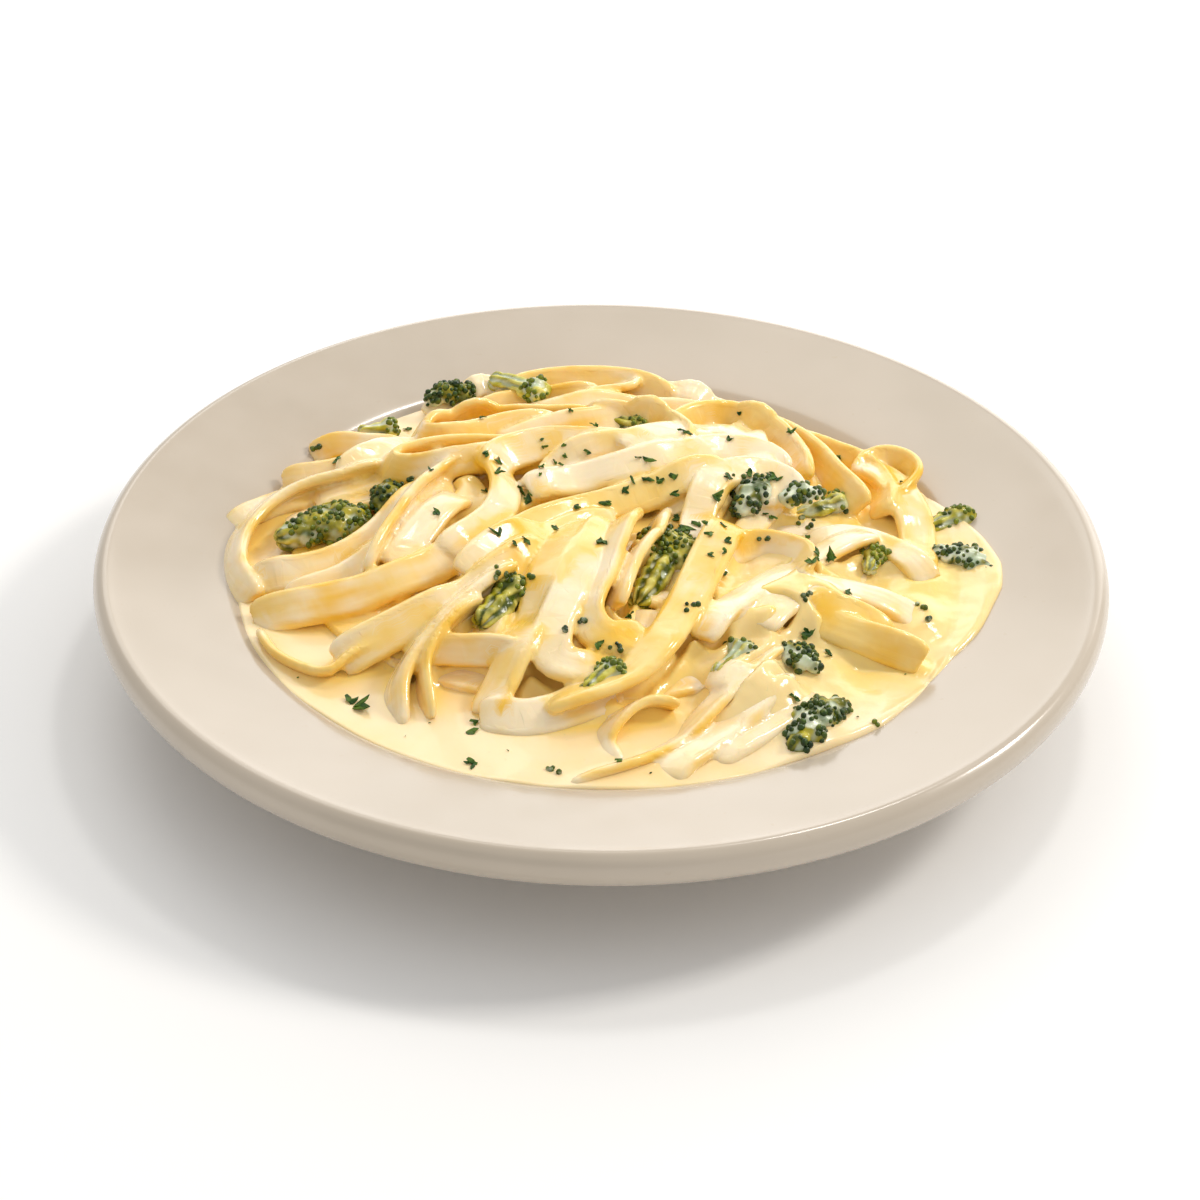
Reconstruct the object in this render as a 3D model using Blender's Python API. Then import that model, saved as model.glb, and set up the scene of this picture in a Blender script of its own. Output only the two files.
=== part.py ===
"""Fettuccine in cream sauce with broccoli, served in a wide-rimmed stoneware plate.

The plate is turned from one outline. The heap of noodles is one solid, from a core and a few
dozen ribbons that are laid over each other in stacking order. The sauce is a pool cut round the
heap, and every broccoli floret is a solid of its own. All named sizes are in millimetres, and the
meshes are in metres. The origin is on the table, under the middle of the plate.
"""
import math
import random

import bmesh
import bpy
import numpy as np
from mathutils import Matrix, Vector

MM = 0.001

# Plate
PLATE_STEPS = 48
FOOT_OUTER = 69.5
FOOT_INNER = 63.0
RIM_RADIUS = 145.0
RIM_HEIGHT = 38.0
WELL_DEPTH_Z = 12.0
PLATE_UNDERSIDE = (
    (0.0, 3.5), (61.0, 3.5), (FOOT_INNER, 0.0), (FOOT_OUTER, 0.0), (72.0, 5.0), (84.0, 10.2),
    (108.0, 24.2), (138.0, 25.8), (143.3, 28.4),
)
PLATE_TOP = (
    (0.0, WELL_DEPTH_Z), (57.0, 12.5), (77.0, 15.0), (90.5, 20.0), (99.5, 26.2), (105.0, 29.9),
    (109.5, 31.6), (137.6, 37.1), (141.0, RIM_HEIGHT), (144.0, 36.0), (RIM_RADIUS, 32.0),
)

# Sauce. Each ring outside the heap has a radius where the sauce stays in the well, a radius where
# it has run over the well's edge, and the thickness of what has run over.
GAP = 0.35
SAUCE_LEVEL = 30.0
SAUCE_RINGS = ((99.5, 99.5, 1.3), (102.5, 105.0, 1.3), (103.3, 110.0, 1.3), (104.1, 118.0, 0.5))
OVERFLOW_ANGLE = math.radians(-6.0)
OVERFLOW_HALF_WIDTH = math.radians(34.0)

# Core of the heap, and the dome that the heap's top stays under
HEAP_RADII = (92, 94, 92, 90, 90, 92, 95, 96, 97, 95, 88, 80, 74, 76, 82, 88)
CORE_BASE = 31.5
CORE_PEAK = 40.0
CORE_GAP = 0.45
CORE_SHARES_BELOW = (0.5, 0.8, 1.0)
CORE_SHARES_ABOVE = (1.0, 0.85, 0.6, 0.3)
DOME_CENTRE = (-6.0, 8.0)
DOME_RADII = (106.0, 92.0)
DOME_BASE = 31.0
DOME_PEAK = 52.0
DOME_ROUNDNESS = 0.75

# Height field that the ribbons are laid on, one millimetre a cell
FIELD_HALF = 125
FIELD_BASE = 28.0
FIELD_PEAK = 39.0
FIELD_FLOOR = 29.0

# Noodles
RIBBON_THICKNESS = 3.2
RIBBON_EDGE = 0.8
RIBBON_STEP = 2.0
RIBBON_SINK = 0.7
RIBBON_STIFFNESS = 10
ROUTE_DETAIL = 24
RESTS_ACROSS = 7
MARKS_ACROSS = 21
MARKS_ALONG = 3
PRESS_DOWN = 0.65
ROLLED_SHARE = 0.6
HEAP_VOXEL = 1.9
HEAP_TRIANGLES = 2150
SPACE_RADIUS = 137.0
SPACE_TOP = 120.0

# Curved ribbons that fill the heap under the named ones: seeds with counts, and their ranges
UNDERLAYERS = ((7, 14), (12, 14))
UNDERLAYER_WIDTH = 10
UNDERLAYER_ROLL = 30
UNDERLAYER_DISTANCES = (15.0, 62.0)
UNDERLAYER_HEADINGS = (0.9, 2.2)
UNDERLAYER_BEND = 0.35
UNDERLAYER_STRIDE = 14.0
UNDERLAYER_POINTS = 4

# Each ribbon has a width, a roll at its start and at its end, in degrees (0 lies flat, 90 stands
# on edge, positive lifts the left edge), and a route of plan points. A third number in a point is
# the least height there. The list runs from the bottom of the heap to its top.
RIBBONS = (
    # Back and right side
    (10, 20, 20, ((-54, 82), (-42, 90, 34), (-32, 93, 35), (-20, 92, 35))),
    (10, 20, 10, ((8, 92, 35), (20, 91, 35), (31, 88, 34), (42, 81))),
    (10, 50, 50, ((-32, 88, 36), (-17, 94, 37), (-2, 95, 37), (10, 93, 37), (20, 88, 36))),
    (9, 30, 40, ((-4, 99, 34), (6, 97, 36), (7, 90, 38), (-2, 87, 38), (-12, 84, 37))),
    (9, 55, 55, ((-38, 80), (-20, 86), (-2, 86))),
    (10, 25, 25, ((-24, 76), (0, 79), (20, 78), (40, 72))),
    (9, 60, 70, ((76, 48), (80, 56), (88, 59), (96, 54), (98, 45), (94, 37), (87, 32))),
    (10, 60, 40, ((54, 66), (68, 59), (78, 52), (83, 40), (82, 26))),
    (12, -15, 0, ((78, 52), (86, 42), (91, 26), (92, 10), (90, -4))),
    (11, 65, 50, ((42, 72), (55, 65), (63, 54), (68, 42), (76, 27))),
    (12, 60, 40, ((21, 58), (27, 67, 36), (38, 71, 37), (49, 64, 38), (56, 50), (58, 34))),
    (10, 0, 10, ((60, 8), (72, 12), (84, 6), (94, -6))),
    # Front pool and right front
    (9, 50, 30, ((21, -70), (13, -71), (6, -76), (1, -84), (4, -93))),
    (10, 30, 40, ((48, -46), (40, -58), (31, -70), (22, -81), (9, -92), (-8, -100))),
    (12, 25, 10, ((50, -58), (42, -70), (32, -82), (22, -92), (18, -98))),
    (13, 8, 0, ((57, -64), (49, -73), (39, -82), (30, -90))),
    (12, 20, 0, ((30, -58), (42, -64), (52, -68), (62, -66))),
    (11, 15, 58, ((67, -25, 35), (60, -26, 36), (58, -31, 36.5), (64, -36, 36),
                  (72, -40, 35.5), (80, -44, 35), (89, -48, 34.5))),
    (10, 30, 20, ((60, -28), (70, -32), (80, -36))),
    (11, 0, 0, ((92, -26), (78, -18), (64, -20), (52, -30), (44, -42))),
    # Left and front left
    (9, 10, 20, ((-109, 19), (-103, 23), (-95, 27), (-86, 30))),
    (10, 40, 20, ((-95, 42), (-84, 40), (-72, 41), (-60, 44))),
    (9, 45, 30, ((-88, 60), (-79, 60), (-70, 57), (-60, 56))),
    (11, 40, 50, ((-66, 38), (-76, 34), (-88, 31), (-98, 24), (-105, 10), (-105, -6),
                  (-99, -20))),
    (11, 30, -30, ((-76, 33), (-67, 41), (-59, 49), (-50, 47), (-44, 40))),
    (9, -60, -40, ((-94, -36), (-90, -45), (-83, -52), (-75, -56), (-70, -52), (-58, -44),
                   (-44, -36))),
    (12, 45, 40, ((-72, -53), (-58, -46), (-42, -36), (-28, -25), (-16, -12))),
    (12, 40, 25, ((-98, -14), (-84, -13), (-71, -7), (-61, 4), (-52, 16), (-43, 25))),
    (10, 30, 20, ((-88, -23), (-74, -18), (-64, -9), (-54, 3), (-46, 12))),
    (12, 40, 60, ((-26, -24), (-39, -37), (-49, -50), (-55, -63), (-55, -76))),
    (9, 70, 70, ((-34, -38), (-43, -49), (-48, -60), (-46, -74))),
    (11, 20, 0, ((-58, -16), (-51, 0), (-44, 13), (-41, 18))),
    (12, 45, 15, ((-97, -29), (-82, -29), (-62, -24), (-46, -14), (-35, 0), (-30, 14))),
    (11, 15, 80, ((-44, -12, 41), (-35, -1, 43), (-29, 12, 44), (-29, 24, 44.5), (-34, 33, 45),
                  (-41, 35, 45), (-48, 29, 44.5), (-54, 17, 44), (-60, 1, 42), (-66, -18))),
    # Top left and back left
    (11, 65, 50, ((0, 66), (-18, 70), (-34, 72, 38), (-47, 69, 38), (-55, 60, 37),
                  (-52, 50), (-42, 50), (-28, 57), (-14, 60))),
    (10, 30, 30, ((-30, 50), (-16, 56), (0, 60), (14, 63))),
    (10, 60, 60, ((-4, 64), (8, 62, 42), (18, 59, 42), (24, 50), (22, 42))),
    (10, 60, 50, ((-14, 45), (-30, 46), (-46, 46), (-60, 41), (-63, 34), (-52, 30),
                  (-38, 32), (-26, 37))),
    (12, 35, 40, ((-33, 27), (-28, 36), (-16, 42), (0, 42), (12, 38))),
    (9, 30, 50, ((-16, 20), (-15, 32), (-8, 38), (2, 41), (11, 41))),
    # Centre
    (12, 20, 20, ((-22, 22), (-6, 28), (8, 31), (22, 36), (34, 42), (46, 40), (52, 33))),
    (12, 10, -20, ((6, 38), (17, 46), (28, 54), (37, 56), (40, 50))),
    (11, 0, 20, ((26, -4), (28, 10), (33, 23), (42, 30), (52, 27), (56, 20))),
    (11, 15, 15, ((78, 10), (64, -1), (50, -17), (38, -32), (28, -48))),
    (12, 25, 25, ((-28, -8), (-21, 3), (-11, 11), (2, 17), (18, 22), (36, 28))),
    (10, 50, 45, ((28, -28), (31, -14), (37, -5), (45, -1), (53, -4), (58, -12), (54, -20))),
    (11, 20, 20, ((-38, -26), (-29, -14), (-18, -5), (-8, 4), (4, 10))),
    (10, 65, 65, ((-50, -54, 36), (-39, -54, 36.5), (-28, -55, 36.5), (-19, -57, 36))),
    (12, 20, 20, ((-4, 4), (-11, -12), (-16, -30), (-20, -48), (-26, -63), (-31, -74))),
    (12, 35, 30, ((-32, -75), (-20, -77), (-8, -73), (4, -67))),
    (12, -20, 30, ((2, 2), (-3, -16), (-8, -34), (-13, -50), (-12, -60), (-2, -61),
                   (8, -56), (17, -46))),
    (11, 40, 20, ((8, 6), (4, -10), (0, -28), (-4, -44), (2, -52), (12, -48))),
    (10, 50, 50, ((17, 12), (14, -6), (8, -24), (4, -40))),
    (12, -10, 20, ((36, 4), (31, -12), (26, -28), (21, -42), (16, -54), (8, -64),
                   (-4, -71), (-14, -74))),
)

# Broccoli florets: name, place over the heap (x, y), how far above the heap's dome a floret starts,
# how far its middle stays above the noodles' tops, size (length, width, height), and direction of
# the length in degrees. From its start a floret slides back and down until it meets the noodles.
FLORETS = (
    ("broccoli_left_large", (-80, 3), -2.0, 1.0, (27, 22, 13), 20),
    ("broccoli_left_small", (-63, 11), -1.0, 1.0, (14, 11, 11), 80),
    ("broccoli_back_left_pale", (-69, 61), -1.0, 1.5, (11, 10, 9), 10),
    ("broccoli_back_dark", (-48, 82), 1.5, 1.5, (16, 12, 12), 20),
    ("broccoli_back_stem", (-27, 86), 2.5, 1.0, (18, 9, 9), -25),
    ("broccoli_centre_large", (16, -25), -2.5, -3.0, (35, 12, 12), 70),
    ("broccoli_centre_cut", (-29, -39), -3.0, -1.0, (20, 14, 12), 65),
    ("broccoli_front_stem", (1, -67), -3.5, -1.0, (13, 8, 9), 50),
    ("broccoli_top", (7, 54), -1.5, -1.0, (11, 9, 9), -20),
    ("broccoli_right_dark", (43, 13), -0.5, 0.0, (20, 14, 11), 60),
    ("broccoli_right_grey", (57, 18), -1.0, 0.0, (13, 8, 8), 10),
    ("broccoli_right_striped", (64, 14.5), -1.5, 0.0, (17, 9, 8), 25),
    ("broccoli_right_bud", (78, -6), -1.5, 0.0, (12, 9, 8), 75),
    ("broccoli_edge_green", (101.5, 18.6), 4.0, 0.5, (15, 12, 9), 30),
    ("broccoli_edge_dark", (103, 1.2), 3.0, 0.5, (20, 13, 8), -30),
    ("broccoli_front_beads", (53, -53), -1.0, 0.0, (14, 9, 8), -35),
    ("broccoli_front_strip", (36, -56), -2.5, 0.0, (15, 7, 8), 55),
    ("broccoli_front_right", (56.5, -81), 2.5, 2.0, (24, 16, 12), 60),
)
FLORET_VOXEL = 1.5
FLORET_TRIANGLES = 130
FLORET_LOBES = 9
LOBE_TURN = 2.4
LOBE_SPREAD = (0.30, 0.28)
LOBE_SIZE = (0.20, 0.24, 0.30)
STALK_SIZE = (0.42, 0.24, 0.30)
SETTLE_CELLS = 3
SLIDE_STEP = 0.5
SLIDE_BACK = 0.84
SLIDE_DOWN = 0.55
SLIDE_LIMIT = 60
POCKET_MARGIN = 1.1
POCKET_SIDES = 8
POCKET_TAPER = 0.93

PLATE_COLOUR = (0.80, 0.72, 0.62, 1.0)
SAUCE_COLOUR = (0.93, 0.83, 0.56, 1.0)
PASTA_COLOUR = (0.88, 0.66, 0.32, 1.0)
BROCCOLI_COLOUR = (0.13, 0.20, 0.04, 1.0)


def clear_scene():
    """Remove whatever objects the file starts with."""
    for existing in list(bpy.data.objects):
        bpy.data.objects.remove(existing, do_unlink=True)


def material(name, colour, roughness):
    """Return a Principled material with one colour and roughness."""
    made = bpy.data.materials.new(name)
    made.use_nodes = True
    shader = made.node_tree.nodes["Principled BSDF"]
    shader.inputs["Base Color"].default_value = colour
    shader.inputs["Roughness"].default_value = roughness
    shader.inputs["Metallic"].default_value = 0.0
    return made


def object_from(name, mesh):
    """Link a new object that carries the mesh."""
    made = bpy.data.objects.new(name, mesh)
    bpy.context.scene.collection.objects.link(made)
    return made


def object_from_bmesh(name, bm):
    """Write a bmesh in millimetres to a new object in metres."""
    bmesh.ops.scale(bm, vec=Vector((MM, MM, MM)), verts=bm.verts)
    bmesh.ops.recalc_face_normals(bm, faces=bm.faces)
    mesh = bpy.data.meshes.new(name)
    bm.to_mesh(mesh)
    bm.free()
    return object_from(name, mesh)


def finish(made, look, sharp_degrees):
    """Give an object its material and smooth shading with sharp edges kept."""
    mesh = made.data
    mesh.materials.clear()
    mesh.materials.append(look)
    mesh.shade_smooth()
    mesh.set_sharp_from_angle(angle=math.radians(sharp_degrees))


def evaluated_mesh(made):
    """Return a copy of the object's mesh with its modifiers applied."""
    graph = bpy.context.evaluated_depsgraph_get()
    graph.update()
    return bpy.data.meshes.new_from_object(made.evaluated_get(graph))


def apply_modifiers(made):
    """Replace the object's mesh by its evaluated one."""
    mesh = evaluated_mesh(made)
    made.modifiers.clear()
    made.data = mesh


def remove(made):
    """Delete a helper object."""
    bpy.data.objects.remove(made, do_unlink=True)


def boolean(made, other, operation):
    """Apply one exact Boolean with another object, which is then deleted."""
    step = made.modifiers.new("combine", "BOOLEAN")
    step.operation = operation
    step.solver = "EXACT"
    step.use_self = True
    step.object = other
    apply_modifiers(made)
    remove(other)


def keep_largest_body(made):
    """Delete loose crumbs that a cut leaves beside the main body."""
    bm = bmesh.new()
    bm.from_mesh(made.data)
    unseen = set(bm.verts)
    bodies = []
    while unseen:
        start = unseen.pop()
        body = {start}
        stack = [start]
        while stack:
            for edge in stack.pop().link_edges:
                for vert in edge.verts:
                    if vert in unseen:
                        unseen.discard(vert)
                        body.add(vert)
                        stack.append(vert)
        bodies.append(body)
    bodies.sort(key=len)
    for body in bodies[:-1]:
        bmesh.ops.delete(bm, geom=list(body), context="VERTS")
    bm.to_mesh(made.data)
    bm.free()


def surface_height(outline, radius):
    """Return the height of a turned outline at a radius."""
    return float(np.interp(radius, [p[0] for p in outline], [p[1] for p in outline]))


def plate_top(radius):
    """Return the height of the plate's upper face at a radius."""
    return surface_height(PLATE_TOP[:9], radius)


def dome_height(x, y, base, peak):
    """Return the height of the smooth dome that the heap follows."""
    across = (np.asarray(x) - DOME_CENTRE[0]) / DOME_RADII[0]
    along = (np.asarray(y) - DOME_CENTRE[1]) / DOME_RADII[1]
    inside = np.clip(1.0 - across ** 2 - along ** 2, 0.0, 1.0)
    return base + (peak - base) * inside ** DOME_ROUNDNESS


def heap_radius(angle):
    """Return the heap's outline radius at an angle, smooth between the named radii."""
    count = len(HEAP_RADII)
    place = (angle / math.tau * count) % count
    before = int(place) % count
    blend = place - int(place)
    ease = blend * blend * (3.0 - 2.0 * blend)
    return HEAP_RADII[before] * (1.0 - ease) + HEAP_RADII[(before + 1) % count] * ease


def overflow(angle):
    """Return 0 to 1, how far the sauce has run over the well's edge at an angle."""
    turn = math.atan2(math.sin(angle - OVERFLOW_ANGLE), math.cos(angle - OVERFLOW_ANGLE))
    reach = max(0.0, 1.0 - (turn / OVERFLOW_HALF_WIDTH) ** 2)
    return math.sqrt(reach)


def ring(bm, heights_and_radii):
    """Add one closed ring of vertices, from a function of the angle."""
    verts = []
    for step in range(PLATE_STEPS):
        angle = math.tau * step / PLATE_STEPS
        radius, height = heights_and_radii(angle)
        verts.append(bm.verts.new((radius * math.cos(angle), radius * math.sin(angle), height)))
    return verts


def bridge(bm, lower, upper):
    """Join two rings with quads."""
    for step in range(len(lower)):
        following = (step + 1) % len(lower)
        bm.faces.new((lower[step], lower[following], upper[following], upper[step]))


def turned(name, outline):
    """Turn an outline of radii and heights round the upright axis."""
    bm = bmesh.new()
    verts = [bm.verts.new((radius, 0.0, height)) for radius, height in outline]
    edges = [bm.edges.new(pair) for pair in zip(verts[:-1], verts[1:])]
    bmesh.ops.spin(bm, geom=verts + edges, cent=(0, 0, 0), axis=(0, 0, 1),
                   angle=math.tau, steps=PLATE_STEPS, use_merge=True)
    bmesh.ops.remove_doubles(bm, verts=bm.verts, dist=0.01)
    return object_from_bmesh(name, bm)


def build_plate():
    """Turn the plate's outline round the upright axis."""
    plate = turned("plate", list(PLATE_UNDERSIDE) + list(reversed(PLATE_TOP)))
    finish(plate, material("stoneware_glaze", PLATE_COLOUR, 0.25), 40.0)


def build_sauce():
    """Build the pool as a closed band between the heap and the well's wall."""
    def spread(dry, wet):
        return lambda angle: dry + (wet - dry) * overflow(angle)

    def under(radius_of):
        return lambda angle: (radius_of(angle), plate_top(radius_of(angle)) + GAP)

    def over(radius_of, thickness):
        def place(angle):
            radius = radius_of(angle)
            run = thickness * overflow(angle)
            return radius, max(SAUCE_LEVEL, plate_top(radius) + GAP + run)
        return place

    bands = [(lambda angle: heap_radius(angle) + GAP, 0.0)]
    bands += [(spread(dry, wet), thickness) for dry, wet, thickness in SAUCE_RINGS]
    bm = bmesh.new()
    rings = [ring(bm, under(radius_of)) for radius_of, thickness in bands]
    rings += [ring(bm, over(*band)) for band in reversed(bands)]
    for lower, upper in zip(rings, rings[1:] + rings[:1]):
        bridge(bm, lower, upper)
    return object_from_bmesh("sauce", bm)


def build_core():
    """Build the heap's core: flat sides in the sauce, the well's curve below, a dome above."""
    def at(share, height_of):
        def place(angle):
            radius = share * heap_radius(angle)
            return radius, height_of(angle, radius)
        return place

    def under(angle, radius):
        return plate_top(radius) + CORE_GAP

    def over(angle, radius):
        x = radius * math.cos(angle)
        y = radius * math.sin(angle)
        return float(dome_height(x, y, CORE_BASE, CORE_PEAK))

    bm = bmesh.new()
    rings = [ring(bm, at(share, under)) for share in CORE_SHARES_BELOW]
    rings += [ring(bm, at(share, over)) for share in CORE_SHARES_ABOVE]
    for lower, upper in zip(rings, rings[1:]):
        bridge(bm, lower, upper)
    bm.faces.new(rings[0])
    bm.faces.new(rings[-1])
    bmesh.ops.triangulate(bm, faces=[face for face in bm.faces if len(face.verts) > 4])
    return object_from_bmesh("noodles_core", bm)


def smooth_route(points):
    """Return evenly spaced stations along a smooth curve through the plan points."""
    knots = np.array([(p[0], p[1], p[2] if len(p) > 2 else 0.0) for p in points], float)
    ends = np.vstack([2 * knots[0] - knots[1], knots, 2 * knots[-1] - knots[-2]])
    dense = []
    for index in range(1, len(ends) - 2):
        before, start, stop, after = ends[index - 1:index + 3]
        for t in np.linspace(0.0, 1.0, ROUTE_DETAIL, endpoint=False):
            dense.append(0.5 * (2 * start + (stop - before) * t
                                + (2 * before - 5 * start + 4 * stop - after) * t ** 2
                                + (3 * start - before - 3 * stop + after) * t ** 3))
    dense.append(knots[-1])
    dense = np.array(dense)
    lengths = np.concatenate([[0.0], np.cumsum(np.hypot(*np.diff(dense[:, :2], axis=0).T))])
    count = max(4, int(round(lengths[-1] / RIBBON_STEP)) + 1)
    marks = np.linspace(0.0, lengths[-1], count)
    return np.stack([np.interp(marks, lengths, dense[:, axis]) for axis in range(3)], axis=1)


def underlayer(rng, count):
    """Return seeded curved ribbons that fill the heap between the named ones."""
    made = []
    for _ in range(count):
        angle = rng.uniform(0.0, math.tau)
        distance = rng.uniform(*UNDERLAYER_DISTANCES)
        heading = angle + rng.uniform(*UNDERLAYER_HEADINGS)
        bend = rng.uniform(-UNDERLAYER_BEND, UNDERLAYER_BEND)
        x = DOME_CENTRE[0] + distance * math.cos(angle)
        y = DOME_CENTRE[1] + distance * math.sin(angle)
        route = []
        for _ in range(UNDERLAYER_POINTS):
            route.append((x, y))
            x += UNDERLAYER_STRIDE * math.cos(heading)
            y += UNDERLAYER_STRIDE * math.sin(heading)
            heading += bend
        roll_start = rng.uniform(-UNDERLAYER_ROLL, UNDERLAYER_ROLL)
        roll_end = rng.uniform(-UNDERLAYER_ROLL, UNDERLAYER_ROLL)
        made.append((UNDERLAYER_WIDTH, roll_start, roll_end, tuple(route)))
    return made


def start_field():
    """Return the height field of the core and the plate, one millimetre a cell."""
    axis = np.arange(-FIELD_HALF, FIELD_HALF + 1)
    x, y = np.meshgrid(axis, axis, indexing="ij")
    plate = np.interp(np.hypot(x, y), [p[0] for p in PLATE_TOP], [p[1] for p in PLATE_TOP])
    core = dome_height(x, y, FIELD_BASE, FIELD_PEAK)
    return np.maximum(np.maximum(plate + GAP, core), FIELD_FLOOR)


def cells(x, y):
    """Return the height field's cell numbers at plan places."""
    column = np.clip(np.rint(x).astype(int) + FIELD_HALF, 0, 2 * FIELD_HALF)
    row = np.clip(np.rint(y).astype(int) + FIELD_HALF, 0, 2 * FIELD_HALF)
    return column, row


def lay_ribbon(field, ribbon):
    """Lay one ribbon on the height field, and return its stations and rolls."""
    width, roll_start, roll_end, points = ribbon
    stations = smooth_route(points)
    rolls = np.radians(np.linspace(roll_start, roll_end, len(stations)))
    heading = np.gradient(stations[:, :2], axis=0)
    heading /= np.linalg.norm(heading, axis=1)[:, None]
    left = np.stack([-heading[:, 1], heading[:, 0]], axis=1)
    half_width = width / 2.0
    half_thickness = RIBBON_THICKNESS / 2.0
    rests = []
    for across in np.linspace(-1.0, 1.0, RESTS_ACROSS):
        reach = across * half_width
        spot = stations[:, :2] + (reach * np.cos(rolls))[:, None] * left
        rests.append(field[cells(spot[:, 0], spot[:, 1])] - reach * np.sin(rolls))
    rests = np.array(rests)
    need = (rests.max(axis=0) + rests.mean(axis=0)) / 2.0 + half_thickness - RIBBON_SINK
    height = need.copy()
    for _ in range(RIBBON_STIFFNESS):
        padded = np.concatenate([height[:1], height, height[-1:]])
        height = (padded[:-2] + padded[1:-1] + padded[2:]) / 3.0
    limit = dome_height(stations[:, 0], stations[:, 1], DOME_BASE, DOME_PEAK)
    limit -= half_thickness + ROLLED_SHARE * half_width * np.abs(np.sin(rolls))
    excess = np.maximum(height - limit, 0.0)
    height = np.maximum(height - excess * PRESS_DOWN, stations[:, 2])
    for across in np.linspace(-1.0, 1.0, MARKS_ACROSS):
        reach = across * half_width
        top = height + reach * np.sin(rolls) + half_thickness
        for slide in np.linspace(-1.0, 1.0, MARKS_ALONG):
            spot = (stations[:, :2] + (reach * np.cos(rolls))[:, None] * left
                    + slide * RIBBON_STEP / 2.0 * heading)
            np.maximum.at(field, cells(spot[:, 0], spot[:, 1]), top)
    stations[:, 2] = height
    return stations, rolls


def ribbon_profile(width):
    """Return a curve object with a noodle's flat rounded section."""
    profile = bpy.data.curves.new("ribbon_profile", "CURVE")
    profile.dimensions = "2D"
    spline = profile.splines.new("POLY")
    half_width = width / 2.0 * MM
    half_thickness = RIBBON_THICKNESS / 2.0 * MM
    corners = ((-1.0, 0.0), (-RIBBON_EDGE, -1.0), (RIBBON_EDGE, -1.0), (1.0, 0.0),
               (RIBBON_EDGE, 1.0), (-RIBBON_EDGE, 1.0))
    spline.points.add(len(corners) - 1)
    for point, corner in zip(spline.points, corners):
        point.co = (corner[0] * half_width, corner[1] * half_thickness, 0.0, 1.0)
    spline.use_cyclic_u = True
    made = bpy.data.objects.new("ribbon_profile", profile)
    bpy.context.scene.collection.objects.link(made)
    return made


def build_ribbon(field, ribbon):
    """Lay one ribbon on the heap so far, and return it as a closed strip."""
    stations, rolls = lay_ribbon(field, ribbon)
    profile = ribbon_profile(ribbon[0])
    curve = bpy.data.curves.new("ribbon", "CURVE")
    curve.dimensions = "3D"
    curve.twist_mode = "Z_UP"
    curve.bevel_mode = "OBJECT"
    curve.bevel_object = profile
    curve.use_fill_caps = True
    spline = curve.splines.new("POLY")
    spline.points.add(len(stations) - 1)
    for point, station, roll in zip(spline.points, stations, rolls):
        point.co = (station[0] * MM, station[1] * MM, station[2] * MM, 1.0)
        point.tilt = roll
    source = bpy.data.objects.new("ribbon", curve)
    bpy.context.scene.collection.objects.link(source)
    mesh = evaluated_mesh(source)
    remove(source)
    remove(profile)
    return object_from("ribbon", mesh)


def build_ribbons():
    """Lay all ribbons in stacking order. Return them as one object, and the field of their tops."""
    field = start_field()
    ribbons = None
    layers = []
    for seed, count in UNDERLAYERS:
        layers += underlayer(random.Random(seed), count)
    for ribbon in layers + list(RIBBONS):
        strip = build_ribbon(field, ribbon)
        if ribbons is None:
            ribbons = strip
        else:
            join(ribbons, strip)
    return ribbons, field


def join(first, second):
    """Move the second object's geometry into the first."""
    bm = bmesh.new()
    bm.from_mesh(first.data)
    bm.from_mesh(second.data)
    bm.to_mesh(first.data)
    bm.free()
    remove(second)


def space_above():
    """Return the space above the sauce, the plate's rim and what has run over its edge."""
    flat, run, shoulder = [(wet, thickness) for dry, wet, thickness in SAUCE_RINGS[:3]]
    lift = run[1] + 2.0 * GAP
    outline = [(0.0, SAUCE_LEVEL + 2.0 * GAP), (flat[0], SAUCE_LEVEL + 2.0 * GAP)]
    outline += [(radius, plate_top(radius) + lift) for radius in (run[0], shoulder[0], SPACE_RADIUS)]
    outline += [(SPACE_RADIUS, SPACE_TOP), (0.0, SPACE_TOP)]
    return turned("space_above", outline)


def build_noodles():
    """Fuse the ribbons over the core. Return the heap and the field of the ribbons' tops."""
    heap, field = build_ribbons()
    join(heap, build_core())
    fuse = heap.modifiers.new("fuse", "REMESH")
    fuse.mode = "VOXEL"
    fuse.voxel_size = HEAP_VOXEL * MM
    apply_modifiers(heap)
    soften = heap.modifiers.new("soften", "SMOOTH")
    soften.factor = 0.5
    soften.iterations = 2
    apply_modifiers(heap)
    thin = heap.modifiers.new("thin", "DECIMATE")
    thin.ratio = HEAP_TRIANGLES / (2.0 * len(heap.data.polygons))
    apply_modifiers(heap)
    boolean(heap, space_above(), "INTERSECT")
    boolean(heap, build_core(), "UNION")
    keep_largest_body(heap)
    heap.name = "noodles"
    return heap, field


def settle(field, place, rise, stand):
    """Return where a floret's middle comes to rest: it slides back and down onto the noodles."""
    x, y = place
    height = float(dome_height(x, y, DOME_BASE, DOME_PEAK)) + rise
    for _ in range(SLIDE_LIMIT):
        column, row = cells(np.array(x), np.array(y))
        near = field[column - SETTLE_CELLS:column + SETTLE_CELLS + 1,
                     row - SETTLE_CELLS:row + SETTLE_CELLS + 1]
        under = max(float(near.mean()), SAUCE_LEVEL)
        if height <= under + stand:
            break
        y += SLIDE_BACK * SLIDE_STEP
        height -= SLIDE_DOWN * SLIDE_STEP
    return Vector((x, y, height))


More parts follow.
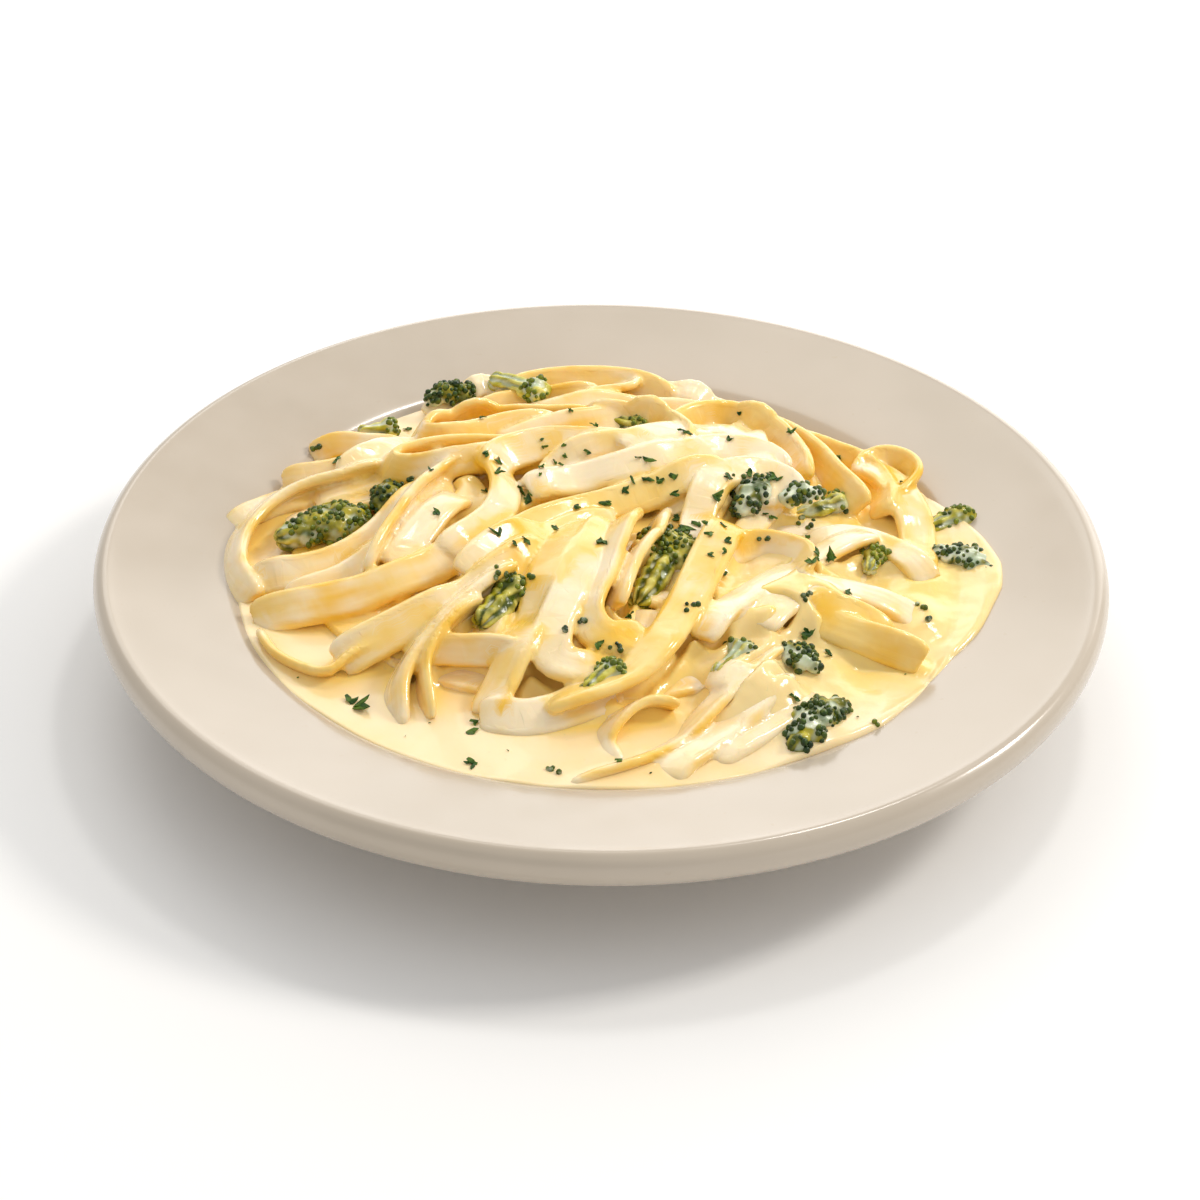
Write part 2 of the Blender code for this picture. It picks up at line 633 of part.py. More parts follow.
def build_floret(name, middle, size, direction):
    """Build one floret: a crown of lobes on a short stalk, fused and thinned."""
    length, width, height = size
    bm = bmesh.new()
    for lobe in range(FLORET_LOBES):
        share = (lobe + 0.5) / FLORET_LOBES
        turn = lobe * LOBE_TURN
        reach = math.sqrt(share)
        place = Matrix.Translation(
            (LOBE_SPREAD[0] * length * reach * math.cos(turn) + 0.06 * length,
             LOBE_SPREAD[1] * width * reach * math.sin(turn),
             height * (0.18 - 0.22 * share)))
        scale = Matrix.Diagonal(
            (LOBE_SIZE[0] * length, LOBE_SIZE[1] * width, LOBE_SIZE[2] * height, 1.0))
        bmesh.ops.create_icosphere(bm, subdivisions=2, radius=1.0, matrix=place @ scale)
    stalk = (Matrix.Translation((-0.28 * length, 0.0, -0.18 * height))
             @ Matrix.Rotation(math.radians(90.0), 4, "Y"))
    bmesh.ops.create_cone(bm, cap_ends=True, segments=10, radius1=STALK_SIZE[1] * height,
                          radius2=STALK_SIZE[2] * height, depth=STALK_SIZE[0] * length,
                          matrix=stalk)
    turn = Matrix.Rotation(math.radians(direction), 4, "Z")
    bmesh.ops.transform(bm, matrix=Matrix.Translation(middle) @ turn, verts=bm.verts)
    floret = object_from_bmesh(name, bm)
    fuse = floret.modifiers.new("fuse", "REMESH")
    fuse.mode = "VOXEL"
    fuse.voxel_size = FLORET_VOXEL * MM
    apply_modifiers(floret)
    thin = floret.modifiers.new("thin", "DECIMATE")
    thin.ratio = FLORET_TRIANGLES / (2.0 * len(floret.data.polygons))
    apply_modifiers(floret)
    lift_off_plate(floret)
    return floret


def lift_off_plate(made):
    """Raise the vertices that would reach into the plate."""
    for vert in made.data.vertices:
        radius = math.hypot(vert.co.x, vert.co.y) / MM
        vert.co.z = max(vert.co.z, (plate_top(radius) + 2.0 * GAP) * MM)


def pocket(middle, size, direction):
    """Return a barrel-shaped cutter a little larger than the floret that stands there."""
    half = [side / 2.0 + POCKET_MARGIN for side in size]
    swell = 1.0 / math.cos(math.pi / POCKET_SIDES)
    bm = bmesh.new()
    bmesh.ops.create_cone(bm, cap_ends=True, segments=POCKET_SIDES, radius1=1.0, radius2=1.0,
                          depth=2.0)
    sides = [edge for edge in bm.edges if abs(edge.verts[0].co.z - edge.verts[1].co.z) > 1.0]
    bmesh.ops.subdivide_edges(bm, edges=sides, cuts=1)
    for vert in bm.verts:
        taper = 1.0 if abs(vert.co.z) < 0.5 else POCKET_TAPER
        vert.co = (vert.co.x * half[0] * swell * taper, vert.co.y * half[1] * swell * taper,
                   vert.co.z * half[2])
    turn = Matrix.Rotation(math.radians(direction), 4, "Z")
    bmesh.ops.transform(bm, matrix=Matrix.Translation(middle) @ turn, verts=bm.verts)
    return object_from_bmesh("pocket", bm)


def build():
    """Build every sub-part and fit them round each other."""
    clear_scene()
    build_plate()
    sauce = build_sauce()
    noodles, field = build_noodles()
    green = material("broccoli_green", BROCCOLI_COLOUR, 0.45)
    for name, place, rise, stand, size, direction in FLORETS:
        middle = settle(field, place, rise, stand)
        floret = build_floret(name, middle, size, direction)
        boolean(noodles, pocket(middle, size, direction), "DIFFERENCE")
        boolean(sauce, pocket(middle, size, direction), "DIFFERENCE")
        finish(floret, green, 60.0)
    keep_largest_body(noodles)
    keep_largest_body(sauce)
    finish(noodles, material("pasta", PASTA_COLOUR, 0.35), 60.0)
    finish(sauce, material("cream_sauce", SAUCE_COLOUR, 0.2), 40.0)


build()
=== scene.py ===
"""A plate of fettuccine alfredo with broccoli and parsley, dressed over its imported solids.

The plate, the noodles, the sauce and each broccoli floret stand for their CAD nodes. The noodles
are laid one over another in the same stacking order and on the same routes as in the source, apart
from the small loop at the right edge, which stands a little higher and tighter. The sauce is a
sheet that fills the pool and the hollows between the noodles. Sizes named here are in millimetres,
and the meshes are in metres.
"""

import math
import random

import bmesh
import bpy
import numpy as np
from mathutils import Matrix, Vector, kdtree, noise
from mathutils.bvhtree import BVHTree


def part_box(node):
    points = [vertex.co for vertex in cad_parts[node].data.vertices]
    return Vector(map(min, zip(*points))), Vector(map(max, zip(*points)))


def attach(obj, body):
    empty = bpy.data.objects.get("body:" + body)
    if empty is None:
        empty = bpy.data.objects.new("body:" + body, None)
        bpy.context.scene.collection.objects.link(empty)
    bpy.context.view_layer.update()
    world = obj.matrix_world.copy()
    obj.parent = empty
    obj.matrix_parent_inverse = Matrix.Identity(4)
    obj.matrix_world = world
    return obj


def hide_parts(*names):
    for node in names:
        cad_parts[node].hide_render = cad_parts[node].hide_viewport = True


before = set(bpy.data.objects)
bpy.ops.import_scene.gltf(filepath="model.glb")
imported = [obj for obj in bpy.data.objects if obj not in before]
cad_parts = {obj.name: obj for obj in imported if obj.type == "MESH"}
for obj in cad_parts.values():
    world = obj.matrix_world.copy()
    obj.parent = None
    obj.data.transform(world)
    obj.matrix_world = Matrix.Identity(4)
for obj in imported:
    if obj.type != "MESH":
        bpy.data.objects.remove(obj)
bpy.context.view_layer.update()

MM = 0.001

# Plate: outlines of radii and heights, from the foot to the rim and from the middle to the rim
PLATE_STEPS = 220
OUTLINE_STEPS = 5
PLATE_RADIUS = 145.0
PLATE_HEIGHT = 38.0
MERGE_DISTANCE = 0.02
PLATE_UNDERSIDE = (
    (0.0, 3.5), (40.0, 3.5), (60.0, 3.5), (62.2, 2.6), (63.0, 0.7), (64.2, 0.0), (68.4, 0.0),
    (69.6, 0.8), (70.6, 3.0), (73.0, 6.0), (84.0, 10.2), (95.0, 16.6), (104.0, 22.0),
    (112.0, 24.6), (127.0, 25.3), (138.0, 25.8), (141.6, 27.0),
)
PLATE_RIM = (
    (143.6, 28.9), (144.7, 31.2), (145.0, 33.4), (144.6, 35.4), (143.4, 37.0), (141.4, 37.9),
)
PLATE_TOP = (
    (0.0, 12.0), (57.0, 12.5), (77.0, 15.0), (90.5, 20.0), (99.5, 26.2), (105.0, 29.9),
    (109.5, 31.6), (124.0, 34.5), (137.6, 37.1),
)

# Sauce: its level, the rings of its disc, and its edge on the plate
SAUCE_LEVEL = 30.0
SAUCE_STEPS = 420
SAUCE_RINGS = 104
EDGE_RINGS = 9
EDGE_RING_START = 0.972
EDGE_RING_SPAN = 0.024
UNDERSIDE_RINGS = (0.98, 0.94, 0.87, 0.7, 0.4, 0.0)
EDGE_ROUNDING = 2.4
THIN_EDGE_ROUNDING = 0.9
EDGE_WOBBLE = 0.35
EDGE_DEPTH = 0.15
UNDERSIDE_DEPTH = 0.3
OVERFLOW_THICKNESS = 1.1
WELL_EDGE = 104.6
OVERFLOW_START = (0.8, 3.5)
OVERFLOW_BLEND = 2.6
# How far out the sauce lies: angle in degrees, radius
SAUCE_REACH = (
    (-180, 104.8), (-150, 104.9), (-120, 104.7), (-90, 104.6), (-78, 104.6), (-62, 105.2),
    (-53, 106.6), (-45, 108.2), (-38, 107.0), (-31, 105.8), (-24, 107.2), (-17, 110.6),
    (-10, 112.8), (-5, 114.8), (1, 115.0), (8, 112.4), (16, 108.0), (25, 105.4), (33, 101.8),
    (42, 99.5), (60, 99.5), (72, 101.5), (84, 104.2), (180, 104.8),
)
# Cream between the noodles: how wide a hollow it fills, and how far below their tops it stays
FILL_RADIUS = 5
FILL_DROP = 6.4
FILL_BLUR = 1.3
MENISCUS = 0.30
MENISCUS_RISE = 3.0
MENISCUS_BLUR = 1.6
LEVEL_BLUR = 0.8
CAP_BLUR = 0.7
HIGHEST_CAP = 60.0
OPEN_POOL = (0.4, 2.0)
# Rays that look for gaps under the noodles
RAY_REACH = 118
RAY_START = 80.0
RAY_STEP = 0.05
RAY_HITS = 4
OPEN_GAP = 2.0
CAP_RISE = 0.3
NO_CAP = 1000.0
NO_TOP = -1.0
# Places where the sauce lies thick over the noodles: x, y, radius, lift
FLOODS = (
    (64.0, -14.0, 18.0, 5.6), (86.0, 6.0, 14.0, 4.6), (46.0, -32.0, 11.0, 4.0),
    (44.0, -63.0, 14.0, 8.0), (66.0, -46.0, 12.0, 5.0), (12.0, -52.0, 9.0, 3.0),
    (-30.0, -70.0, 11.0, 2.0), (48.0, 10.0, 10.0, 4.2), (16.0, 34.0, 11.0, 3.0),
    (-66.0, 52.0, 10.0, 2.4), (-8.0, -44.0, 8.0, 2.4), (-38.5, 19.0, 6.0, 5.0),
    (4.0, -15.0, 6.0, 4.0), (-41.0, 26.0, 5.0, 5.0), (20.0, -4.0, 5.0, 3.0),
    (-40.0, 34.0, 4.0, 3.5), (3.3, -25.0, 4.0, 2.5), (-12.0, -2.0, 8.0, -2.5),
)
# Golden spots on pasta and sauce: painted shade in hollows, bare pasta where cream ran off: x, y,
# radius, share
GOLDEN_AND_SHADED = (
    (-17.0, -8.0, 11.0, 0.9), (12.0, -57.0, 10.0, 1.0), (-4.0, 4.0, 12.0, 0.6),
    (98.0, -14.0, 17.0, 0.60), (82.0, -46.0, 14.0, 0.45), (-80.0, -60.0, 12.0, 0.12),
    (60.0, -16.0, 12.0, 0.2),
)
# Places where the pool's surface lies in folds: x, y, radius, height
FOLDS = ((96.0, -12.0, 16.0, 2.4), (76.0, -50.0, 18.0, 1.8), (-12.0, -92.0, 26.0, 0.5))
FOLD_SIZE = 11.0
FOLD_STRETCH = 0.7
# Places where the pool stands higher round a floret or lower than elsewhere: x, y, radius, rise
SKIRTS = (
    (98.0, -8.0, 15.0, 1.6), (101.0, 24.0, 6.0, 0.8), (57.0, -79.0, 9.0, 3.2),
    (50.0, -54.0, 8.0, 2.4), (92.0, -22.0, 6.0, 1.2), (48.0, 90.0, 11.0, -4.0),
    (70.0, 72.0, 12.0, -5.0), (88.0, 58.0, 8.0, -3.0),
)

# Noodles: their section, their ends, and how they settle on one another
NOMINAL_WIDTH = 10.5
RIBBON_THICKNESS = 3.2
VISIBLE_THICKNESS = 3.3
END_TAPER = 3.0
END_NARROWING = 0.22
END_SINK = 1.8
END_SINK_REACH = 9.0
RIBBON_STEP = 2.0
RIBBON_SINK = 0.7
RIBBON_STIFFNESS = 10
ROLLED_SHARE = 0.6
PRESS_DOWN = 0.65
FEELERS = 7
COVER_ACROSS = 21
COVER_ALONG = 3
CORE_PEAK = 40.0
CORE_RADII = (84.0, 76.0)
CORE_DROP = 3.0
DOME_CENTRE = (-6.0, 8.0)
DOME_PEAK = 52.0
DOME_BASE = 31.0
DOME_RADII = (106.0, 92.0)
FIELD_HALF = 125
# Filling ribbons under the named ones: seed and number, and how they are drawn
UNDERLAYERS = ((7, 14), (12, 14))
UNDERLAYER_WIDTH = 10
UNDERLAYER_DISTANCE = (15.0, 62.0)
UNDERLAYER_TURN = (0.9, 2.2)
UNDERLAYER_BEND = 0.35
UNDERLAYER_POINTS = 4
UNDERLAYER_STRIDE = 14.0
UNDERLAYER_ROLL = 30
UNDERLAYER_BARENESS = 0.3
# The noodles' skin, and what is stored on it
HEAP_VOXEL = 0.72
HEAP_TRIANGLES = 195000
HEAP_FLOOR = 27.0
FLOOD_SOFTENING = (3.0, 6.5)
SOFTENING_PASSES = 6
STREAK_LENGTH = 5.5
STREAK_SHIFT = 997.0
STREAK_PERIOD = 613.0
SAMPLE_PLACES = (-0.45, -0.15, 0.15, 0.45)
EDGE_BARENESS = 0.28
EDGE_SHARES = (0.30, 0.50)
TORN_FADE = 4.0
GAP = 0.35

# Each ribbon has a width, a roll at its start and at its end, in degrees (0 lies flat, 90 stands
# on edge, positive lifts the left edge), how bare of cream it is, and a route of plan points. A
# third number in a point is the least height there. The list runs from the bottom to the top.
RIBBONS = (
    # Back and right side
    (10, 20, 20, 0.1, ((-54, 82), (-42, 90, 34), (-32, 93, 35), (-20, 92, 35))),
    (10, 20, 10, 0.1, ((8, 92, 35), (20, 91, 35), (31, 88, 34), (42, 81))),
    (10, 50, 50, 0.5, ((-32, 88, 36), (-17, 94, 37), (-2, 95, 37), (10, 93, 37), (20, 88, 36))),
    (9, 30, 40, 0.4, ((-4, 99, 34), (6, 97, 36), (7, 90, 38), (-2, 87, 38), (-12, 84, 37))),
    (9, 55, 55, 0.5, ((-38, 80), (-20, 86), (-2, 86))),
    (10, 25, 25, 0.4, ((-24, 76), (0, 79), (20, 78), (40, 72))),
    (9, 60, 70, 0.8, ((76, 47, 34), (79, 53, 34), (85, 56, 34.5), (91, 53, 34.5), (93, 46, 34.5),
                      (90, 39, 34), (85, 33, 34))),
    (10, 60, 40, 0.8, ((54, 66), (68, 59), (78, 52), (83, 40), (82, 26))),
    (12, -15, 0, 0.4, ((78, 52), (86, 42), (91, 26), (92, 10), (90, -4))),
    (11, 65, 50, 0.8, ((42, 72), (55, 65), (63, 54), (68, 42), (76, 27))),
    (12, 60, 40, 0.7, ((21, 58), (27, 67, 36), (38, 71, 37), (49, 64, 38), (56, 50), (58, 34))),
    (10, 0, 10, 0.1, ((60, 8), (72, 12), (84, 6), (94, -6))),
    # Front pool and right front
    (9, 50, 30, 0.3, ((21, -70), (13, -71), (6, -76), (1, -84), (4, -93))),
    (10, 30, 40, 0.4, ((48, -46), (40, -58), (31, -70), (22, -81), (9, -92), (-8, -100))),
    (12, 25, 10, 0.2, ((50, -58), (42, -70), (32, -82), (22, -92), (18, -98))),
    (13, 8, 0, 0.05, ((57, -64), (49, -73), (39, -82), (30, -90))),
    (12, 20, 0, 0.1, ((30, -58), (42, -64), (52, -68), (62, -66))),
    (11, 15, 58, 1.0, ((67, -25, 35), (60, -26, 36), (58, -31, 36.5), (64, -36, 36),
                       (72, -40, 35.5), (80, -44, 35), (89, -48, 34.5))),
    (10, 30, 20, 0.3, ((60, -28), (70, -32), (80, -36))),
    (11, 0, 0, 0.05, ((92, -26), (78, -18), (64, -20), (52, -30), (44, -42))),
    # Left and front left
    (9, 10, 20, 0.3, ((-109, 19), (-103, 23), (-95, 27), (-86, 30))),
    (10, 40, 20, 0.5, ((-95, 42), (-84, 40), (-72, 41), (-60, 44))),
    (9, 45, 30, 0.4, ((-88, 60), (-79, 60), (-70, 57), (-60, 56))),
    (11, 40, 50, 0.35, ((-66, 38), (-76, 34), (-88, 31), (-98, 24), (-105, 10), (-105, -6),
                        (-99, -20))),
    (11, 30, -30, 0.4, ((-76, 33), (-67, 41), (-59, 49), (-50, 47), (-44, 40))),
    (9, -60, -40, 0.45, ((-94, -36), (-90, -45), (-83, -52), (-75, -56), (-70, -52), (-58, -44),
                         (-44, -36))),
    (12, 45, 40, 0.3, ((-72, -53), (-58, -46), (-42, -36), (-28, -25), (-16, -12))),
    (12, 40, 25, 0.45, ((-98, -14), (-84, -13), (-71, -7), (-61, 4), (-52, 16), (-43, 25))),
    (10, 30, 20, 0.3, ((-88, -23), (-74, -18), (-64, -9), (-54, 3), (-46, 12))),
    (12, 40, 60, 0.2, ((-26, -24), (-39, -37), (-49, -50), (-55, -63), (-55, -76))),
    (9, 70, 70, 0.4, ((-34, -38), (-43, -49), (-48, -60), (-46, -74))),
    (11, 20, 0, 0.1, ((-58, -16), (-51, 0), (-44, 13), (-41, 18))),
    (12, 45, 15, 0.5, ((-97, -29), (-82, -29), (-62, -24), (-46, -14), (-35, 0), (-30, 14))),
    (11, 15, 80, 0.3, ((-44, -12, 41), (-35, -1, 43), (-29, 12, 44), (-29, 24, 44.5), (-34, 33, 45),
                       (-41, 35, 45), (-48, 29, 44.5), (-54, 17, 44), (-60, 1, 42), (-66, -18))),
    # Top left and back left
    (11, 65, 50, 0.45, ((0, 66), (-18, 70), (-34, 72, 38), (-47, 69, 38), (-55, 60, 37),
                        (-52, 50), (-42, 50), (-28, 57), (-14, 60))),
    (10, 30, 30, 0.4, ((-30, 50), (-16, 56), (0, 60), (14, 63))),
    (10, 60, 60, 0.5, ((-4, 64), (8, 62, 42), (18, 59, 42), (24, 50), (22, 42))),
    (10, 60, 50, 0.5, ((-14, 45), (-30, 46), (-46, 46), (-60, 41), (-63, 34), (-52, 30),
                       (-38, 32), (-26, 37))),
    (12, 35, 40, 0.35, ((-33, 27), (-28, 36), (-16, 42), (0, 42), (12, 38))),
    (9, 30, 50, 0.3, ((-16, 20), (-15, 32), (-8, 38), (2, 41), (11, 41))),
    # Centre
    (12, 20, 20, 0.1, ((-22, 22), (-6, 28), (8, 31), (22, 36), (34, 42), (46, 40), (52, 33))),
    (12, 10, -20, 0.2, ((6, 38), (17, 46), (28, 54), (37, 56), (40, 50))),
    (11, 0, 20, 0.15, ((26, -4), (28, 10), (33, 23), (42, 30), (52, 27), (56, 20))),
    (11, 15, 15, 0.05, ((78, 10), (64, -1), (50, -17), (38, -32), (28, -48))),
    (12, 25, 25, 0.75, ((-28, -8), (-21, 3), (-11, 11), (2, 17), (18, 22), (36, 28))),
    (10, 50, 45, 0.45, ((28, -28), (31, -14), (37, -5), (45, -1), (53, -4), (58, -12), (54, -20))),
    (11, 20, 20, 0.15, ((-38, -26), (-29, -14), (-18, -5), (-8, 4), (4, 10))),
    (10, 65, 65, 0.2, ((-50, -54, 36), (-39, -54, 36.5), (-28, -55, 36.5), (-19, -57, 36))),
    (12, 20, 20, 0.5, ((-4, 4), (-11, -12), (-16, -30), (-20, -48), (-26, -63), (-31, -74))),
    (12, 35, 30, 0.1, ((-32, -75), (-20, -77), (-8, -73), (4, -67))),
    (12, -20, 30, 0.1, ((2, 2), (-3, -16), (-8, -34), (-13, -50), (-12, -60), (-2, -61),
                        (8, -56), (17, -46))),
    (11, 40, 20, 0.1, ((8, 6), (4, -10), (0, -28), (-4, -44), (2, -52), (12, -48))),
    (10, 50, 50, 0.15, ((17, 12), (14, -6), (8, -24), (4, -40))),
    (12, -10, 20, 0.65, ((36, 4), (31, -12), (26, -28), (21, -42), (16, -54), (8, -64),
                         (-4, -71), (-14, -74))),
)

# Florets: direction of the length in degrees, where the buds begin along the length (0 to 1), how
# dark the buds are, how much cream lies between them, and how pale the flesh is.
FLORETS = {
    "broccoli_left_large": (20, 0.14, 0.60, 0.24, 0.30),
    "broccoli_left_small": (80, 0.10, 1.0, 0.14, 0.1),
    "broccoli_back_left_pale": (10, 0.75, 0.4, 0.35, 0.8),
    "broccoli_back_dark": (20, 0.10, 0.9, 0.25, 0.2),
    "broccoli_back_stem": (-25, 0.68, 0.35, 0.30, 0.9),
    "broccoli_centre_large": (70, 0.58, 0.60, 0.08, 0.5),
    "broccoli_centre_cut": (65, 0.72, 0.65, 0.15, 0.85),
    "broccoli_front_stem": (50, 0.60, 0.4, 0.25, 0.7),
    "broccoli_top": (-20, 0.65, 0.3, 0.05, 0.5),
    "broccoli_right_dark": (60, 0.05, 1.0, 0.50, 0.1),
    "broccoli_right_grey": (10, 0.05, 0.95, 0.6, 0.1),
    "broccoli_right_striped": (25, 0.80, 0.6, 0.40, 0.9),
    "broccoli_right_bud": (75, 0.40, 0.25, 0.20, 0.45),
    "broccoli_edge_green": (30, 0.45, 0.35, 0.25, 0.5),
    "broccoli_edge_dark": (-30, 0.05, 1.0, 0.60, 0.1),
    "broccoli_front_beads": (-35, 0.05, 0.95, 0.5, 0.2),
    "broccoli_front_strip": (55, 0.75, 0.5, 0.5, 0.5),
    "broccoli_front_right": (60, 0.10, 1.0, 0.38, 0.2),
}
# Florets that ride higher than their solids, where cream or noodles would cover them: rise
RAISED = {"broccoli_edge_green": 1.0, "broccoli_edge_dark": 1.4, "broccoli_front_stem": 2.0}
FLORET_VOXEL = 0.55
LOBE_COUNT = 14
STALK_RIBS = 7.0
RIB_HEIGHT = 0.35
BUD_RADIUS = 0.98
BUD_SIZES = (0.60, 0.78, 0.92, 1.06, 1.22)
BUD_SPACING = 1.52
BUD_LEAST_FACING = -0.45
# Points of one bud's ball
BUD_POINTS = 34

# Parsley: plan places and sizes
PARSLEY = (
    (-34, 31, 2.6), (-30, 24, 2.2), (-31, 18, 2.8), (-34, 8, 2.2), (-47, -1, 2.6), (-24, 9, 3.2),
    (-21, 3, 3.6), (-18, 17, 1.6), (-18, 39, 2.2), (-18, 34, 1.6), (-12, 34, 1.8), (-11, 27, 2.0),
    (-14, 23, 1.6), (-12, 22, 1.6), (-18, 21, 2.0), (-4, 30, 2.4), (12, 27, 3.6), (12, 16, 3.0),
    (16, 14, 2.4), (9, 13, 2.6), (6, 8, 3.0), (2, 1, 3.4), (21, 18, 3.8), (20, 8, 2.6),
    (-8, -1, 2.8), (-13, -12, 2.6), (-29, -14, 3.0), (-21, -17, 2.4), (-24, -19, 2.4),
    (0, -17, 3.4), (-36, 58, 3.6), (-47, 56, 3.2), (24, 48, 2.6), (-2, 48, 2.0), (37, 45, 2.2),
    (32, 9, 3.6), (49, 2, 3.4), (21, -5, 4.0), (28, -7, 2.6), (30, -6, 2.2), (34, -5, 2.6),
    (31, -10, 3.0), (35, -13, 3.0), (35, -18, 2.6), (30, -20, 2.0), (35, -27, 2.4),
    (59, -5, 2.8), (66, -13, 4.6), (61, -13, 3.4), (59, -17, 2.6), (69, -26, 2.4), (56, 60, 2.2),
    (70, 48, 3.0), (41, 70, 1.6), (-66, -71, 5.2), (-33, -81, 3.6), (-33, -96, 3.2),
    (-83, -58, 0.9), (-1, -57, 2.4), (6, -93, 2.2), (8, -47, 3.0), (64, -51, 2.4), (53, -66, 2.4),
    (58, -46, 3.6), (-78, 40, 3.6), (-50, 22, 1.8), (36, 22, 3.6), (50, 24, 3.8), (43, 23, 3.0),
    (23, -8, 3.6), (-60, 57, 2.2), (-46, -78, 0.8), (-24, -90, 0.7), (-52, -84, 0.8),
    (-12, -97, 1.2), (14, -99, 1.0), (70, -72, 1.0), (84, -52, 0.9), (-10, 62, 1.4), (88, 44, 1.6),
)
# Loose green buds that lie in the sauce: plan place, number of buds and spread
LOOSE_BUDS = (
    (-57, 18, 5, 3.0), (60, 2, 7, 4.0), (-87, 55, 5, 3.0), (57, -31, 5, 2.6), (91, -24, 5, 3.0),
    (46, -10, 3, 2.0), (-9, -52, 3, 1.6), (-5, -49, 3, 1.4), (-12, -98, 4, 2.2), (-27, -30, 5, 3.2),
    (-20, -33, 3, 2.0), (4, -58, 4, 2.6), (25, -42, 4, 2.6), (40, 20, 4, 3.0), (75, -75, 2, 1.2),
)

# How crumbs land on the food: along the camera's line of sight, from this far before it
LANDING_SLANT = Vector((0.0, 0.837, -0.547))
LANDING_START = 20.0

# Lights: name, bearing and height in degrees, distance in metres, size, watts, colour
LIGHTS = (
    ("key", 18.0, 40.0, 2.6, (0.5, 0.5), 29.0, (1.0, 0.95, 0.88)),
    ("window", 111.0, 45.0, 3.0, (1.44, 1.9), 14.0, (1.0, 0.98, 0.94)),
    ("lamp", 66.0, 58.0, 2.6, (0.3, 0.3), 9.0, (1.0, 0.98, 0.95)),
    ("backdrop", 75.0, 16.5, 3.0, (2.8, 1.78), 25.0, (1.0, 0.98, 0.95)),
)
SKY_COLOUR = (1.0, 0.99, 0.97, 1.0)
SKY_STRENGTH = 0.68

# Camera: distance, aim and sensor in metres and millimetres, angles in degrees
CAMERA_DISTANCE = 1.015
CAMERA_ELEVATION = 33.17
CAMERA_ROLL = 0.84
CAMERA_LENS = 106.13
CAMERA_SHIFT = (-0.0015, -0.0411)
CAMERA_SENSOR = 36.0
AIM_HEIGHT = 0.0365


# ---------------------------------------------------------------- helpers

def object_from(name, data):
    """Link a new object that carries a mesh, a curve, a light or a camera."""
    made = bpy.data.objects.new(name, data)
    bpy.context.scene.collection.objects.link(made)
    return made


def mesh_from(name, bm):
    """Write a bmesh to a new mesh, and free it."""
    mesh = bpy.data.meshes.new(name)
    bm.to_mesh(mesh)
    bm.free()
    return mesh


def object_from_bmesh(name, bm):
    """Write a bmesh in millimetres to a new object in metres."""
    bmesh.ops.scale(bm, vec=Vector((MM, MM, MM)), verts=bm.verts)
    bmesh.ops.recalc_face_normals(bm, faces=bm.faces)
    return object_from(name, mesh_from(name, bm))


def evaluated_mesh(made):
    """Return a copy of the object's mesh with its modifiers applied."""
    graph = bpy.context.evaluated_depsgraph_get()
    graph.update()
    return bpy.data.meshes.new_from_object(made.evaluated_get(graph))


def apply_modifiers(made):
    """Replace the object's mesh by its evaluated one."""
    mesh = evaluated_mesh(made)
    made.modifiers.clear()
    made.data = mesh


def remove(made):
    """Delete a helper object."""
    bpy.data.objects.remove(made, do_unlink=True)


def fuse(made, voxel, smoothing):
    """Fuse overlapping closed bodies into one soft skin."""
    step = made.modifiers.new("fuse", "REMESH")
    step.mode = "VOXEL"
    step.voxel_size = voxel * MM
    soften = made.modifiers.new("soften", "SMOOTH")
    soften.factor = 0.5
    soften.iterations = smoothing
    apply_modifiers(made)


def points_of(mesh):
    """Return the mesh's points as rows, in metres."""
    flat = np.empty(len(mesh.vertices) * 3, np.float32)
    mesh.vertices.foreach_get("co", flat)
    return flat.reshape(-1, 3).astype(float)


def set_points(mesh, points):
    """Move the mesh's points."""
    mesh.vertices.foreach_set("co", np.asarray(points, np.float32).ravel())
    mesh.update()


def normals_of(mesh):
    """Return the mesh's normals at its points, as rows."""
    flat = np.empty(len(mesh.vertices) * 3, np.float32)
    mesh.vertices.foreach_get("normal", flat)
    return flat.reshape(-1, 3).astype(float)


def edges_of(mesh):
    """Return the numbers of the points at both ends of each edge, as rows."""
    flat = np.empty(len(mesh.edges) * 2, np.int32)
    mesh.edges.foreach_get("vertices", flat)
    return flat.reshape(-1, 2)


def plan_of(points):
    """Return the plan places of points in metres, in millimetres."""
    return points[:, 0] / MM, points[:, 1] / MM


def write_attribute(mesh, name, values):
    """Store one number for each point of a mesh."""
    layer = mesh.attributes.get(name) or mesh.attributes.new(name, "FLOAT", "POINT")
    layer.data.foreach_set("value", np.asarray(values, np.float32))


def blur_over_mesh(mesh, values, passes):
    """Even out values between neighbouring points."""
    edges = edges_of(mesh)
    count = np.bincount(edges.ravel(), minlength=len(values))
    for _ in range(passes):
        total = np.bincount(edges[:, 0], values[edges[:, 1]], len(values))
        total += np.bincount(edges[:, 1], values[edges[:, 0]], len(values))
        values = 0.5 * values + 0.5 * total / np.maximum(count, 1)
    return values


def smoothstep(value, low, high):
    """Return 0 below low, 1 above high and a soft ramp between."""
    share = np.clip((value - low) / (high - low), 0.0, 1.0)
    return share * share * (3.0 - 2.0 * share)


def smooth_curve(points, steps):
    """Return points along a smooth curve through the given ones."""
    knots = np.array(points, float)
    ends = np.vstack([2 * knots[0] - knots[1], knots, 2 * knots[-1] - knots[-2]])
    dense = []
    for index in range(1, len(ends) - 2):
        before, start, stop, after = ends[index - 1:index + 3]
        for t in np.linspace(0.0, 1.0, steps, endpoint=False):
            dense.append(0.5 * (2 * start + (stop - before) * t
                                + (2 * before - 5 * start + 4 * stop - after) * t ** 2
                                + (3 * start - before - 3 * stop + after) * t ** 3))
    dense.append(knots[-1])
    return np.array(dense)


